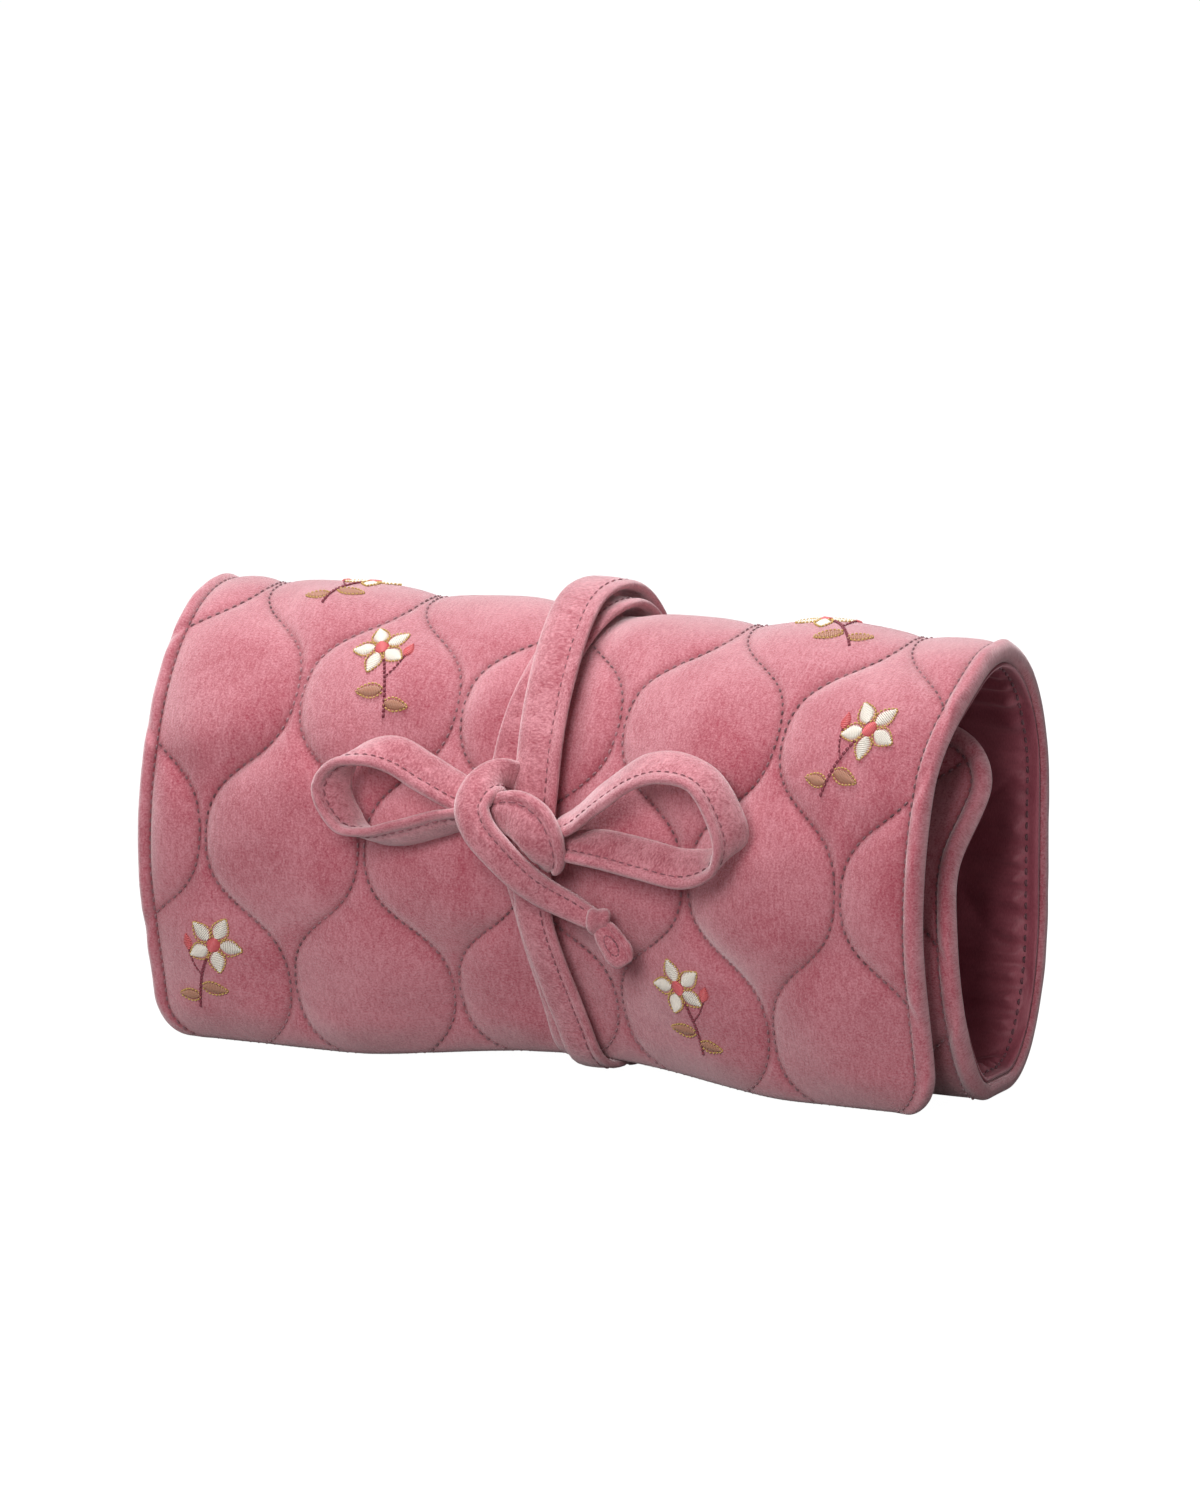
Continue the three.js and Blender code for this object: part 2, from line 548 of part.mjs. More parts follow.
const sewnTabX = barLeft + RING_BAR_LENGTH + CLEARANCE + RING_TAB_LENGTH / 2;
const sewnTabSeat = onRoll(sewnTabX, barStation, liningFace - CLEARANCE);
const sewnTabReach = sewnTabSeat.y - barAxis.y + STUD_TAB_SHEET;
const sewnTab = new THREE.BoxGeometry(RING_TAB_LENGTH, sewnTabReach, RING_TAB_HEIGHT);
addPiece('ring_bar_tab', sewnTab, velvet).position.copy(sewnTabSeat).y -= sewnTabReach / 2;

function disc(name, height, seatY, material) {
  const mesh = addPiece(name, new THREE.CylinderGeometry(STUD_RADIUS, STUD_RADIUS, height, 20), material);
  mesh.position.set(barLeft - STUD_SETBACK, seatY - height / 2, barAxis.z);
  return seatY - height;
}

const studX = barLeft - STUD_SETBACK;
const socketSeat = onRoll(studX + STUD_RADIUS / 2, barStation, liningFace - CLEARANCE - RING_BAR_SEAT).y;
const socketFace = disc('stud_socket', SOCKET_HEIGHT, socketSeat, brass);
const studFace = disc('stud_cap', STUD_HEIGHT, socketFace - CLEARANCE, brass);
const studTabLength = STUD_SETBACK + STUD_RADIUS;
const studTab = new THREE.BoxGeometry(studTabLength, STUD_TAB_SHEET, RING_TAB_HEIGHT);
const studTabMiddle = barLeft - CLEARANCE - studTabLength / 2;
addPiece('ring_bar_stud_tab', studTab, velvet).position.set(
  studTabMiddle,
  studFace - CLEARANCE - STUD_TAB_SHEET / 2,
  barAxis.z,
);

export default roll;
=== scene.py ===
import bpy
import numpy as np
from mathutils import Matrix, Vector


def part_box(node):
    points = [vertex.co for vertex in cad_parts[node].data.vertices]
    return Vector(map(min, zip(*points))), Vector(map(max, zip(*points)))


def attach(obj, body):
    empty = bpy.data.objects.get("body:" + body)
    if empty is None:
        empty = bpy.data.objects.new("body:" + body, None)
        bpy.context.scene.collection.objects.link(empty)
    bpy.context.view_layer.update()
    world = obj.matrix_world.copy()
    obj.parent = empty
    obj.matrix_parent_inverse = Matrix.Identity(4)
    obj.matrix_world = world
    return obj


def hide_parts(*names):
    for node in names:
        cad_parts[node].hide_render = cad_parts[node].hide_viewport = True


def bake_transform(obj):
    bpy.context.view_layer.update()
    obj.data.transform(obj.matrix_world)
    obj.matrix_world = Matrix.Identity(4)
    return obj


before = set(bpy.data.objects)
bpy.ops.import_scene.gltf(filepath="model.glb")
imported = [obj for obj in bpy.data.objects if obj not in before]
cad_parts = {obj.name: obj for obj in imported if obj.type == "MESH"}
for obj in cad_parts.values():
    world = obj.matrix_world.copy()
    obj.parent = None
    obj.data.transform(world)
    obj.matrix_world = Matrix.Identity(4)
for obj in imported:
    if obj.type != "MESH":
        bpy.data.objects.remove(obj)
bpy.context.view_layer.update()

# The quilted panel: one sheet about 397 mm long, velvet over wadding, sewn through along ogee lines
# and round its edge. It starts at the front flap's hem, goes up the front, over the crest, down the
# back and along the base, and ends inside the roll as the inner flap. Sizes are in millimetres.


def straight(start, end):
    """Straight stretch of a course: start plus a share of the way to the end."""
    share = np.linspace(0, 1, 60)[:, None]
    return np.array(start) + share * (np.array(end) - np.array(start))


def elliptic(centre, reach, turn_from, turn_to):
    """Arc of an ellipse: the centre plus reach times (cos, sin) of an angle in degrees."""
    turn = np.radians(np.linspace(turn_from, turn_to, 400))[:, None]
    return np.array(centre) + np.array(reach) * np.hstack([np.cos(turn), np.sin(turn)])


def bezier(start, start_handle, end_handle, end):
    """Cubic curve: the four points weighted by the Bernstein polynomials of a share."""
    share = np.linspace(0, 1, 400)[:, None]
    rest = 1 - share
    first = rest**3 * np.array(start) + 3 * rest**2 * share * np.array(start_handle)
    return first + 3 * rest * share**2 * np.array(end_handle) + share**3 * np.array(end)


def run_length(points):
    """Length of a run of points."""
    return np.hypot(*np.diff(points, axis=0).T).sum()


def unit(vectors):
    """Vectors of length one."""
    return vectors / np.maximum(np.linalg.norm(vectors, axis=-1, keepdims=True), 1e-9)


def course(start, *stretches):
    """Table of a course in (setback, height): distance along it counted from start, Y, Z and the
    outward direction, which is the tangent turned a quarter turn."""
    points = np.concatenate(stretches)
    step = np.hypot(*np.diff(points, axis=0).T)
    points = points[np.r_[True, step > 1e-9]]
    along = start + np.r_[0, np.cumsum(step[step > 1e-9])]
    tangent = unit(np.gradient(points, along, axis=0))
    return along, points[:, 0] - 35.75, points[:, 1], -tangent[:, 1], tangent[:, 0]


straight_front = bezier((9, 0), (9, 16.67), (0, 33.33), (0, 50))
tucked_hem = bezier((16.5, 2.2), (13.5, -2.6), (9.6, 1.11), (8.064, 10))
flap_front = bezier((8.064, 10), (5.76, 23.33), (0, 36.67), (0, 50))
round_the_roll = [
    elliptic((42.5, 50), (42.5, 62.5), 180, 90),
    elliptic((42.5, 73), (29, 39.5), 90, 0),
    straight((71.5, 73), (71.5, 43)),
    elliptic((48, 43), (23.5, 43), 0, -90),
    straight((48, 0), (37, 0)),
]
panel_hem = run_length(straight_front) - run_length(tucked_hem) - run_length(flap_front)
tuck_end = panel_hem + run_length(tucked_hem)
panel_course = course(
    panel_hem,
    tucked_hem,
    flap_front,
    *round_the_roll,
    bezier((37, 0), (25, 0), (13.5, 28), (13.5, 40)),
    bezier((13.5, 40), (13.5, 62), (38, 71), (38, 93)),
)
panel_end = panel_course[0][-1]
crest, base_back, base_front = 134.18, 271.65, 282.65
crest_height = 112.5


def smoothstep(share):
    """3 t^2 - 2 t^3 of the share held between 0 and 1."""
    share = np.clip(share, 0, 1)
    return share * share * (3 - 2 * share)


tie_x, tie_reach, hem_lift, drawn_in = 5, 64, 3.2, 3.8


def on_roll(x, s, out, line=panel_course):
    """Point at X, distance s along a course and height out above it: the course's place plus its
    outward direction times out, less what the tie pulls in beside it, and lifted at the hem. The
    tie pulls the tucked hem back as a whole, and both flaps' right ends are drawn in."""
    y, z, out_y, out_z = (np.interp(s, line[0], column) for column in line[1:])
    pull_y, pull_z = (np.interp(np.maximum(s, tuck_end), line[0], column) for column in line[3:])
    tied = np.clip(1 - ((x - tie_x) / tie_reach) ** 2, 0, None) ** 2
    pull = tied * (1 + 5.8 * np.clip(1 - z / crest_height, 0, None) ** 1.5)
    lift = hem_lift * tied * (1 - smoothstep(z / 44)) * (s < crest)
    drawn = smoothstep((120 - s) / 35) + np.exp(-(((s - 357) / 16) ** 2))
    x = x - drawn_in * smoothstep((x - 40) / 70) * drawn
    y = y + out_y * out - pull_y * pull
    z = z + out_z * out - pull_z * pull + lift
    return np.stack(np.broadcast_arrays(x, y, z), -1)


def soft_noise(x, s, size, seed):
    """Smooth noise from -1 to 1: random heights on a square lattice, joined by smoothstep."""
    count, shift = 97, 300
    lattice = np.random.default_rng(seed).uniform(-1, 1, (count, count))
    u, v = np.broadcast_arrays((x + shift) / size, (s + shift) / size)
    i, j = np.floor(u).astype(int), np.floor(v).astype(int)
    a, b = smoothstep(u - i), smoothstep(v - j)
    i, next_i, j, next_j = i % count, (i + 1) % count, j % count, (j + 1) % count
    low = lattice[i, j] * (1 - a) + lattice[next_i, j] * a
    high = lattice[i, next_j] * (1 - a) + lattice[next_i, next_j] * a
    return low * (1 - b) + high * b


half_panel, corner_radius, topstitch = 110, 17, 4.3
corner_centre = half_panel - corner_radius


def edge_distance(x, s):
    """Distance inwards from the panel's edge, a rectangle with rounded corners."""
    across = np.abs(x) - corner_centre
    along = corner_radius - np.minimum(s - panel_hem, panel_end - s)
    corner = np.hypot(np.maximum(across, 0), np.maximum(along, 0))
    return corner_radius - corner - np.minimum(np.maximum(across, along), 0)


def half_length(s):
    """Half of the panel's length at s, less the rounding of the hems' corners."""
    cut = np.maximum(corner_radius - np.minimum(s - panel_hem, panel_end - s), 0)
    return corner_centre + np.sqrt(corner_radius**2 - cut**2)


quilt_lines = range(-7, 6)
quilt_pitch, quilt_swing, quilt_period = 22.25, 10.3, 76
widest_cell = quilt_pitch + 2 * quilt_swing


def quilt_line(index, s):
    """X of a quilting line: pairs of lines swing to and fro along a cosine flattened at its crests
    by tanh, so that neighbours kiss at every other row."""
    side = 1 if index % 2 else -1
    wave = np.tanh(1.2 * np.cos(2 * np.pi * (s - 18.5) / quilt_period)) / np.tanh(1.2)
    return 20.5 + quilt_pitch * (index + 0.5) + side * quilt_swing * wave


under_route = np.array([
    (-6, 6.5, 9), (45, 0, 9), (75, -7, 10), (95, -4, 11),
    (137, 3, 13), (240, 5, 12), (320, 6.5, 10),
])
over_route = np.array([
    (-6, 12, 9.5), (45, 2.4, 9.5), (75, 2.6, 12), (105, 1, 13),
    (128, -1.2, 13), (142, 1, 13), (240, 8, 12), (320, 12, 10),
])


def strand_at(route, s):
    """X and width of a strand of the tie at s: straight stretches between its route's places, which
    are (s, X, width), rounded by averaging over 8 mm."""
    near = np.asarray(s)[..., None] + np.linspace(-4, 4, 9)
    return [np.interp(near, route[:, 0], route[:, k]).mean(axis=-1) for k in (1, 2)]


wadding, puff_height = 4.2, 3.5
half_wadding = wadding / 2


def rim_drop(edge):
    """Share by which the cloth turns in at its edge: a quarter circle over half of the wadding."""
    return 1 - np.sqrt(1 - (1 - np.clip(edge / half_wadding, 0, 1)) ** 2)


def velvet_height(x, s):
    """Height of the quilted velvet above its grooves, and how close a seam is, from 0 to 1.
    Between two lines it puffs like (1 - (1 - u)^2)^0.7 of the share u from a line to the middle,
    more where they stand apart. Tie, base and topstitched edge press it down, and seams pinch the
    rim outside the topstitch."""
    left, right = (np.full(np.broadcast(x, s).shape, far) for far in (-1e3, 1e3))
    for index in quilt_lines:
        line = quilt_line(index, s)
        left = np.where(line <= x, np.maximum(left, line), left)
        right = np.where(line > x, np.minimum(right, line), right)
    lean = 1 / np.hypot(1, (quilt_line(1, s + 0.1) - quilt_line(1, s - 0.1)) / 0.2)
    gap = right - left
    seam = np.minimum(x - left, right - x) * lean
    share = np.clip((np.hypot(seam, 0.35) - 0.35) / (gap * lean / 2), 0, 1)
    puff = puff_height * (gap / widest_cell) ** 0.8 * (1 - (1 - share) ** 2) ** 0.7
    puff = puff * (1 + 0.34 * soft_noise(x, s, 19, 3)) + 0.32 * soft_noise(x, s, 9, 4) * share
    puff = puff + 0.16 * np.exp(-seam / 3.5) * soft_noise(x * 0.5, s, 2.6, 5) * (seam > 0.3)
    puff = puff * (1 - 0.35 * np.exp(-(((s - crest) / 24) ** 2)))
    strands = [strand_at(route, s)[0] for route in (under_route, over_route)]
    beside = np.minimum(*[np.abs(x - strand) for strand in strands])
    tied = np.exp(-((np.maximum(beside - 4.5, 0) / 7) ** 2)) * (s < base_front + 28)
    standing = smoothstep(np.maximum(np.maximum(base_back - s, s - base_front), 0) / 25)
    standing = standing * smoothstep((s - panel_hem - 2) / 15)
    edge = edge_distance(x, s)
    inside = 1 - np.exp(-np.maximum(edge - topstitch, 0) / 4)
    pinch = (1 + 0.3 * soft_noise(x, s, 6, 6)) * (1 - 0.7 * np.exp(-((seam / 1.5) ** 2)))
    rim = (0.25 + standing) * pinch * np.sin(np.pi * np.clip(edge / topstitch, 0, 1)) ** 0.7
    height = np.where(edge > topstitch, puff * inside * (1 - 0.9 * tied) * standing, rim)
    # Closeness to a seam or to the topstitch: the mask for the painted shade in the grooves.
    groove = np.maximum(np.exp(-seam / 0.5) * (edge > 4), np.exp(-np.abs(edge - topstitch) / 0.5))
    return height - half_wadding * rim_drop(edge), groove


def cells(number):
    """Quads between neighbouring rows and columns of a grid of point numbers."""
    corners = [number[:-1, :-1], number[:-1, 1:], number[1:, 1:], number[1:, :-1]]
    return np.stack(corners, -1).reshape(-1, 4)


def grid_normals(points):
    """Unit normals of a grid: the cross product of its slopes along columns and along rows."""
    return unit(np.cross(np.gradient(points, axis=1), np.gradient(points, axis=0)))


def new_piece(name, points, faces, material, uv=None, normals=None):
    """Mesh object at the origin, its points turned from millimetres into metres."""
    mesh = bpy.data.meshes.new(name)
    mesh.from_pydata((points / 1000).tolist(), [], faces)
    mesh.shade_smooth()
    if uv is not None:
        corner = np.empty(len(mesh.loops), np.int32)
        mesh.loops.foreach_get("vertex_index", corner)
        layer = mesh.uv_layers.new(name="cloth")
        layer.data.foreach_set("uv", uv[corner].astype(np.float32).ravel())
    if normals is not None:
        mesh.normals_split_custom_set_from_vertices(normals.tolist())
    mesh.materials.append(material)
    piece = bpy.data.objects.new(name, mesh)
    bpy.context.scene.collection.objects.link(piece)
    return piece


def closed_sheet(name, face, back, flat, material, cut=(False, False), normals=None, groove_shade_marks=None):
    """Closed sheet between a face grid and a back grid that share their rim. A cut end is closed by
    a wall instead. flat holds each point's place on the flat cloth, in millimetres."""
    rows, columns = face.shape[:2]
    number = np.arange(rows * columns).reshape(rows, columns)
    under = number + rows * columns
    under[:, [0, -1]] = number[:, [0, -1]]
    for end, is_cut in zip((0, -1), cut):
        if not is_cut:
            under[end] = number[end]
    quads = np.concatenate([cells(number), cells(under)[:, ::-1]])
    ends = ((cut[0], under[0], number[0]), (cut[1], number[-1], under[-1]))
    walls = [cells(np.stack(rims)) for is_cut, *rims in ends if is_cut]
    used = np.unique(quads)
    place = np.zeros(2 * rows * columns, int)
    place[used] = np.arange(len(used))
    faces = place[quads].tolist()
    for wall in walls:
        faces += [list(dict.fromkeys(corner)) for corner in place[wall].tolist()]
    both = np.concatenate([face.reshape(-1, 3), back.reshape(-1, 3)])
    cloth = np.tile(flat.reshape(-1, 2) / 100, (2, 1))
    if normals is None:
        normals = (grid_normals(face), -grid_normals(back))
    turned = np.concatenate([side.reshape(-1, 3) for side in normals])
    piece = new_piece(name, both[used], faces, material, cloth[used], turned[used])
    # The groove attribute carries the mask for the painted shade in the velvet's grooves.
    if groove_shade_marks is not None:
        groove = np.concatenate([groove_shade_marks.ravel(), np.zeros(groove_shade_marks.size)])[used]
        values = piece.data.attributes.new("groove", "FLOAT", "POINT")
        values.data.foreach_set("value", groove.astype(np.float32))
    return piece


class Finish:
    """A material in the making: constants on its Principled shader, and nodes that vary it."""

    def __init__(self, name, constants):
        self.material = bpy.data.materials.new(name)
        self.material.use_nodes = True
        self.tree = self.material.node_tree
        self.shader = self.tree.nodes["Principled BSDF"]
        for socket, value in constants.items():
            self.shader.inputs[socket].default_value = value

    def add(self, kind, inputs=None, **settings):
        """New node with its settings, each input either linked or given a value."""
        node = self.tree.nodes.new(kind)
        for key, value in settings.items():
            setattr(node, key, value)
        for key, value in (inputs or {}).items():
            if isinstance(value, bpy.types.NodeSocket):
                self.tree.links.new(value, node.inputs[key])
            else:
                node.inputs[key].default_value = value
        return node

    def link(self, source, socket):
        """Leads a node's output into the shader."""
        self.tree.links.new(source, self.shader.inputs[socket])

    def cloth(self):
        """Place on the flat cloth, in tenths of a metre."""
        return self.add("ShaderNodeUVMap", uv_map="cloth").outputs["UV"]

    def solid(self):
        """Place in the piece's own space, in metres."""
        return self.add("ShaderNodeTexCoord").outputs["Object"]

    def mapped(self, place, scale=(1, 1, 1), turn=0):
        """Place turned and stretched by a Mapping node."""
        inputs = {"Vector": place, "Rotation": (0, 0, turn), "Scale": scale}
        return self.add("ShaderNodeMapping", inputs).outputs["Vector"]

    def noise(self, place, scale, detail=2, roughness=0.5, distortion=0):
        """Soft noise, from 0 to 1."""
        inputs = {"Vector": place, "Scale": scale, "Detail": detail}
        inputs |= {"Roughness": roughness, "Distortion": distortion}
        return self.add("ShaderNodeTexNoise", inputs).outputs["Fac"]

    def weigh(self, *shares):
        """Sum of values, each times its weight."""
        total = 0
        for value, weight in shares:
            inputs = {0: value, 1: weight, 2: total}
            total = self.add("ShaderNodeMath", inputs, operation="MULTIPLY_ADD").outputs[0]
        return total

    def ramp(self, share, dark, light, start=0, end=1):
        """Colour that goes from dark at a share of start to light at a share of end."""
        node = self.add("ShaderNodeValToRGB", {"Fac": share})
        low, high = node.color_ramp.elements
        low.position, low.color, high.position, high.color = start, (*dark, 1), end, (*light, 1)
        return node.outputs["Color"]

    def bump(self, height, strength, distance):
        """Bumps on the shader's normal, as deep as a distance in metres."""
        inputs = {"Height": height, "Strength": strength, "Distance": distance}
        self.link(self.add("ShaderNodeBump", inputs).outputs["Normal"], "Normal")


def velvet(name, dark, light, patch_scale, brush, has_grooves):
    """Short-pile velvet: fine fibres, crushed streaks and patches of brushed nap move the colour
    from dark to light; grooves darken it, partly as pressed pile and partly as painted shade."""
    sheen = {"Sheen Weight": 1.0, "Sheen Roughness": 0.56, "Sheen Tint": (1.0, 0.88, 0.9, 1)}
    finish = Finish(name, {"Roughness": 0.85, "Specular IOR Level": 0.08, **sheen})
    cloth = finish.cloth()
    fibre = finish.noise(cloth, 190, 3, 0.8)
    streak = finish.noise(finish.mapped(cloth, (*brush, 1), 0.5), 1, 3, 0.65)
    nap = finish.noise(cloth, patch_scale, 4, 0.6, 0.8)
    pile = finish.weigh((fibre, 0.75), (streak, 0.35))
    colour = finish.ramp(finish.weigh((pile, 1), (nap, 0.36)), dark, light, 0.59, 0.86)
    if has_grooves:
        groove = finish.add("ShaderNodeAttribute", attribute_name="groove").outputs["Fac"]
        # Painted shade in the grooves: a darker maroon, partly for the pile pressed flat.
        pressed = (0.6 * dark[0], 0.4 * dark[1], 0.42 * dark[2], 1)
        shade = finish.add("ShaderNodeMix", {0: groove, 6: colour, 7: pressed}, data_type="RGBA")
        colour = shade.outputs[2]
    finish.link(colour, "Base Color")
    finish.bump(pile, 0.6, 0.0006)
    return finish.material


rose_velvet = velvet("rose_velvet", (0.38, 0.042, 0.073), (0.635, 0.24, 0.283), 4, (95, 38), True)

hem_rows = corner_radius * (1 - np.cos(np.linspace(0, np.pi / 2, 36)))
front_cut, back_cut, base_cut = 114, 148, 296
panel_stops = [panel_hem + corner_radius, front_cut, back_cut, base_cut, panel_end - corner_radius]


def spaced(stops, step):
    """Stations from the first stop to the last, about a step apart, with every stop among them."""
    counts = [int(np.ceil((b - a) / step)) for a, b in zip(stops, stops[1:])]
    runs = [np.linspace(a, b, n, endpoint=False) for a, b, n in zip(stops, stops[1:], counts)]
    return np.concatenate([*runs, stops[-1:]])


def rows_between(rows, start, end):
    """Slice of the rows from one station to another."""
    return slice(np.abs(rows - start).argmin(), np.abs(rows - end).argmin() + 1)


panel_rows = [panel_hem + hem_rows[:-1], spaced(panel_stops, 0.9), panel_end - hem_rows[-2::-1]]
panel_rows = np.concatenate(panel_rows)[:, None]
rim_columns = np.array([0, 0.12, 0.4, 0.8, 1.3, 1.9, 2.6, 3.2, 3.7, 4.1, 4.3, 4.6, 5.1, 5.8, 6.7])
far_columns = 2 * half_panel - rim_columns[::-1]
panel_columns = np.concatenate([rim_columns, np.linspace(7.6, 212.4, 227), far_columns])
panel_x = (panel_columns[None, :] / half_panel - 1) * half_length(panel_rows)
# The second value is the mask for the painted shade in the velvet's grooves.
velvet_out, groove_shade_mask = velvet_height(panel_x, panel_rows)
velvet_face = on_roll(panel_x, panel_rows, velvet_out)
turned_in = half_wadding * rim_drop(edge_distance(panel_x, panel_rows))
velvet_back = on_roll(panel_x, panel_rows, -wadding + turned_in)
velvet_normals = grid_normals(velvet_face), -grid_normals(velvet_back)
panel_flat = np.stack(np.broadcast_arrays(panel_x, panel_rows), -1)

# Each part's first and last station, the bodies it joins, the stations between which it turns from
# one to the other, and the CAD lengths that it stands for.
panel_pieces = {
    "front": (panel_hem, front_cut, "front", "top_front", 80, 108, ["front"]),
    "top": (front_cut, back_cut, "top_front", "top_back", 120, 146, ["top_front", "top_back"]),
    "back": (back_cut, base_cut, "top_back", "back", 150, 178, ["back"]),
    "inner": (base_cut, panel_end, "back", "inner", 300, 322, ["inner"]),
}


def bend_with_panel(piece, part):
    """Bakes the piece's place into its points; the part's bodies and stations go unused."""
    _, _, before, after, start, end, _ = panel_pieces[part]
    turning = on_roll(100.0, np.array([start, end]), -2.0) / 1000
    turning[:, 0] = 0
    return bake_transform(piece)


for part, (start, end, _, _, _, _, nodes) in panel_pieces.items():
    rows = rows_between(panel_rows, start, end)
    quilt = closed_sheet(
        f"quilt_{part}",
        velvet_face[rows],
        velvet_back[rows],
        panel_flat[rows],
        rose_velvet,
        (start > panel_hem, end < panel_end),
        [side[rows] for side in velvet_normals],
        groove_shade_mask[rows],
    )
    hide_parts(*[f"{node}_{layer}" for node in nodes for layer in ("velvet", "wadding")])
    bend_with_panel(quilt, part)

# The quilting thread: fine stitches about 2.3 mm apart, sunk in the grooves of the ogee lines and
# along the topstitched edge.


def stitches(name, starts, ends, normals, radius, rise, material, colours=None):
    """Short threads from starts to ends: five rings of five points, on a line that bulges by rise
    along the normal at its middle and sinks by as much at its ends."""
    share = np.array([0, 0.18, 0.5, 0.82, 1])[None, :, None]
    bulge = np.array([-1, 0.5, 1, 0.5, -1])[None, :, None] * np.reshape(rise, (-1, 1, 1))
    middle = starts[:, None] + share * (ends - starts)[:, None] + bulge * normals[:, None]
    along = unit(ends - starts)
    across = unit(np.cross(along, normals))
    up = np.cross(across, along)
    turn = np.linspace(0, 2 * np.pi, 5, endpoint=False)
    taper = np.array([0.45, 1, 1.1, 1, 0.45])[None, :, None, None]
    ring = np.cos(turn)[None, None, :, None] * across[:, None, None]
    ring = ring + np.sin(turn)[None, None, :, None] * up[:, None, None]
    points = middle[:, :, None] + np.reshape(radius, (-1, 1, 1, 1)) * taper * ring
    count = len(starts)
    number = np.arange(count * 25).reshape(count, 5, 5)
    wrap = np.roll(number, -1, axis=2)
    sides = np.stack([number[:, :-1], wrap[:, :-1], wrap[:, 1:], number[:, 1:]], -1).reshape(-1, 4)
    faces = sides[:, ::-1].tolist() + number[:, 0].tolist() + number[:, -1, ::-1].tolist()
    piece = new_piece(name, points.reshape(-1, 3), faces, material)
    if colours is not None:
        shade = piece.data.attributes.new("thread", "FLOAT_COLOR", "POINT")
        rgba = np.hstack([np.repeat(colours, 25, axis=0), np.ones((25 * count, 1))])
        shade.data.foreach_set("color", rgba.astype(np.float32).ravel())
    return piece


def walk(x, s, pitch, length):
    """Starts and ends, as (X, s), of dashes of a length, one every pitch along a line on cloth."""
    along = np.r_[0, np.cumsum(np.hypot(np.diff(x), np.diff(s)))]
    at = np.arange(0.3, along[-1] - length, pitch)
    return [(np.interp(a, along, x), np.interp(a, along, s)) for a in (at, at + length)]


def thread_finish(name, dark, light, scale):
    """Twisted thread: soft noise of a given scale moves it between two colours."""
    finish = Finish(name, {"Roughness": 0.5, "Sheen Weight": 0.2})
    twist = finish.noise(finish.solid(), scale, 6, 0.7)
    finish.link(finish.ramp(twist, dark, light, 0.38, 0.68), "Base Color")
    return finish.material


rose_thread = thread_finish("rose_thread", (0.075, 0.011, 0.019), (0.4, 0.18, 0.21), 30)
stitch_pitch, quilting_dash = 2.3, 1.6
panel_length = np.linspace(panel_hem, panel_end, 4000)
dashes = []
for index in quilt_lines:
    x = quilt_line(index, panel_length)
    sewn = edge_distance(x, panel_length) > 4.4
    runs = np.split(np.arange(len(x)), np.flatnonzero(np.diff(sewn)) + 1)
    runs = [run for run in runs if sewn[run[0]] and len(run) > 60]
    dashes += [walk(x[run], panel_length[run], stitch_pitch, quilting_dash) for run in runs]


def edge_line(inset):
    """Closed line a given inset inside the panel's edge, as (X, s)."""
    turn = np.linspace(0, np.pi / 2, 40)
    radius = corner_radius - inset
    right_x = corner_centre + radius * np.cos(turn)
    left_x = -corner_centre + radius * np.cos(turn + np.pi / 2)
    corner_x = np.concatenate([right_x, left_x])
    corner_s = np.concatenate([radius * np.sin(turn), radius * np.sin(turn + np.pi / 2)])
    last, first = panel_end - corner_radius, panel_hem + corner_radius
    x = np.concatenate([corner_x, -corner_x, corner_x[:1]])
    return x, np.concatenate([last + corner_s, first - corner_s, last + corner_s[:1]])


def panel_stitches(name, dashes, height, side, radius, rise, material):
    """Dashes on the panel, one piece for each part of it, standing out to one side of the cloth."""
    starts, ends = (np.concatenate([np.stack(dash[k], -1) for dash in dashes]) for k in (0, 1))
    for part, (start, end, *_) in panel_pieces.items():
        here = (starts[:, 1] >= start) & (starts[:, 1] < end)
        places = [on_roll(*at[here].T, height(*at[here].T)) for at in (starts, ends)]
        middle = (starts[here] + ends[here]).T / 2
        outward = on_roll(*middle, side) - on_roll(*middle, 0.0)
        sewn = stitches(f"{name}_{part}", *places, outward, radius, rise, material)
        bend_with_panel(sewn, part)


def quilting_height(x, s):
    """Height of the quilting thread: the velvet's, and sunk 0.4 mm at the tucked hem."""
    return velvet_height(x, s)[0] - 0.4 * (s < panel_hem + 6)


dashes.append(walk(*edge_line(topstitch), stitch_pitch, quilting_dash))
panel_stitches("quilting", dashes, quilting_height, 1.0, 0.26, 0.28, rose_thread)

# The embroidery: small sprigs in satin stitch on some of the quilted cells, with cream petals
# outlined in gold, a coral eye, a maroon stem and tan leaves.


def leaf(base, angle, length, width):
    """Satin stitches across a leaf of half-width w/2 sin(pi t^0.8) at share t of its axis, and the
    leaf's outline."""
    along = np.array([np.cos(angle), np.sin(angle)])
    side = np.array([-along[1], along[0]])
    share = np.arange(0.08, 0.96, 0.46 / length)
    half = (width / 2 * np.sin(np.pi * share**0.8))[:, None] * side
    axis = np.array(base) + share[:, None] * length * along
    fine = np.linspace(0, 1, 60)
    edge = (width / 2 * np.sin(np.pi * fine**0.8) + 0.2)[:, None] * side
    spine = np.array(base) + fine[:, None] * length * along
    outline = np.concatenate([spine + edge, (spine - edge)[::-1]])
    return axis - half, axis + half + 0.3 * along, outline


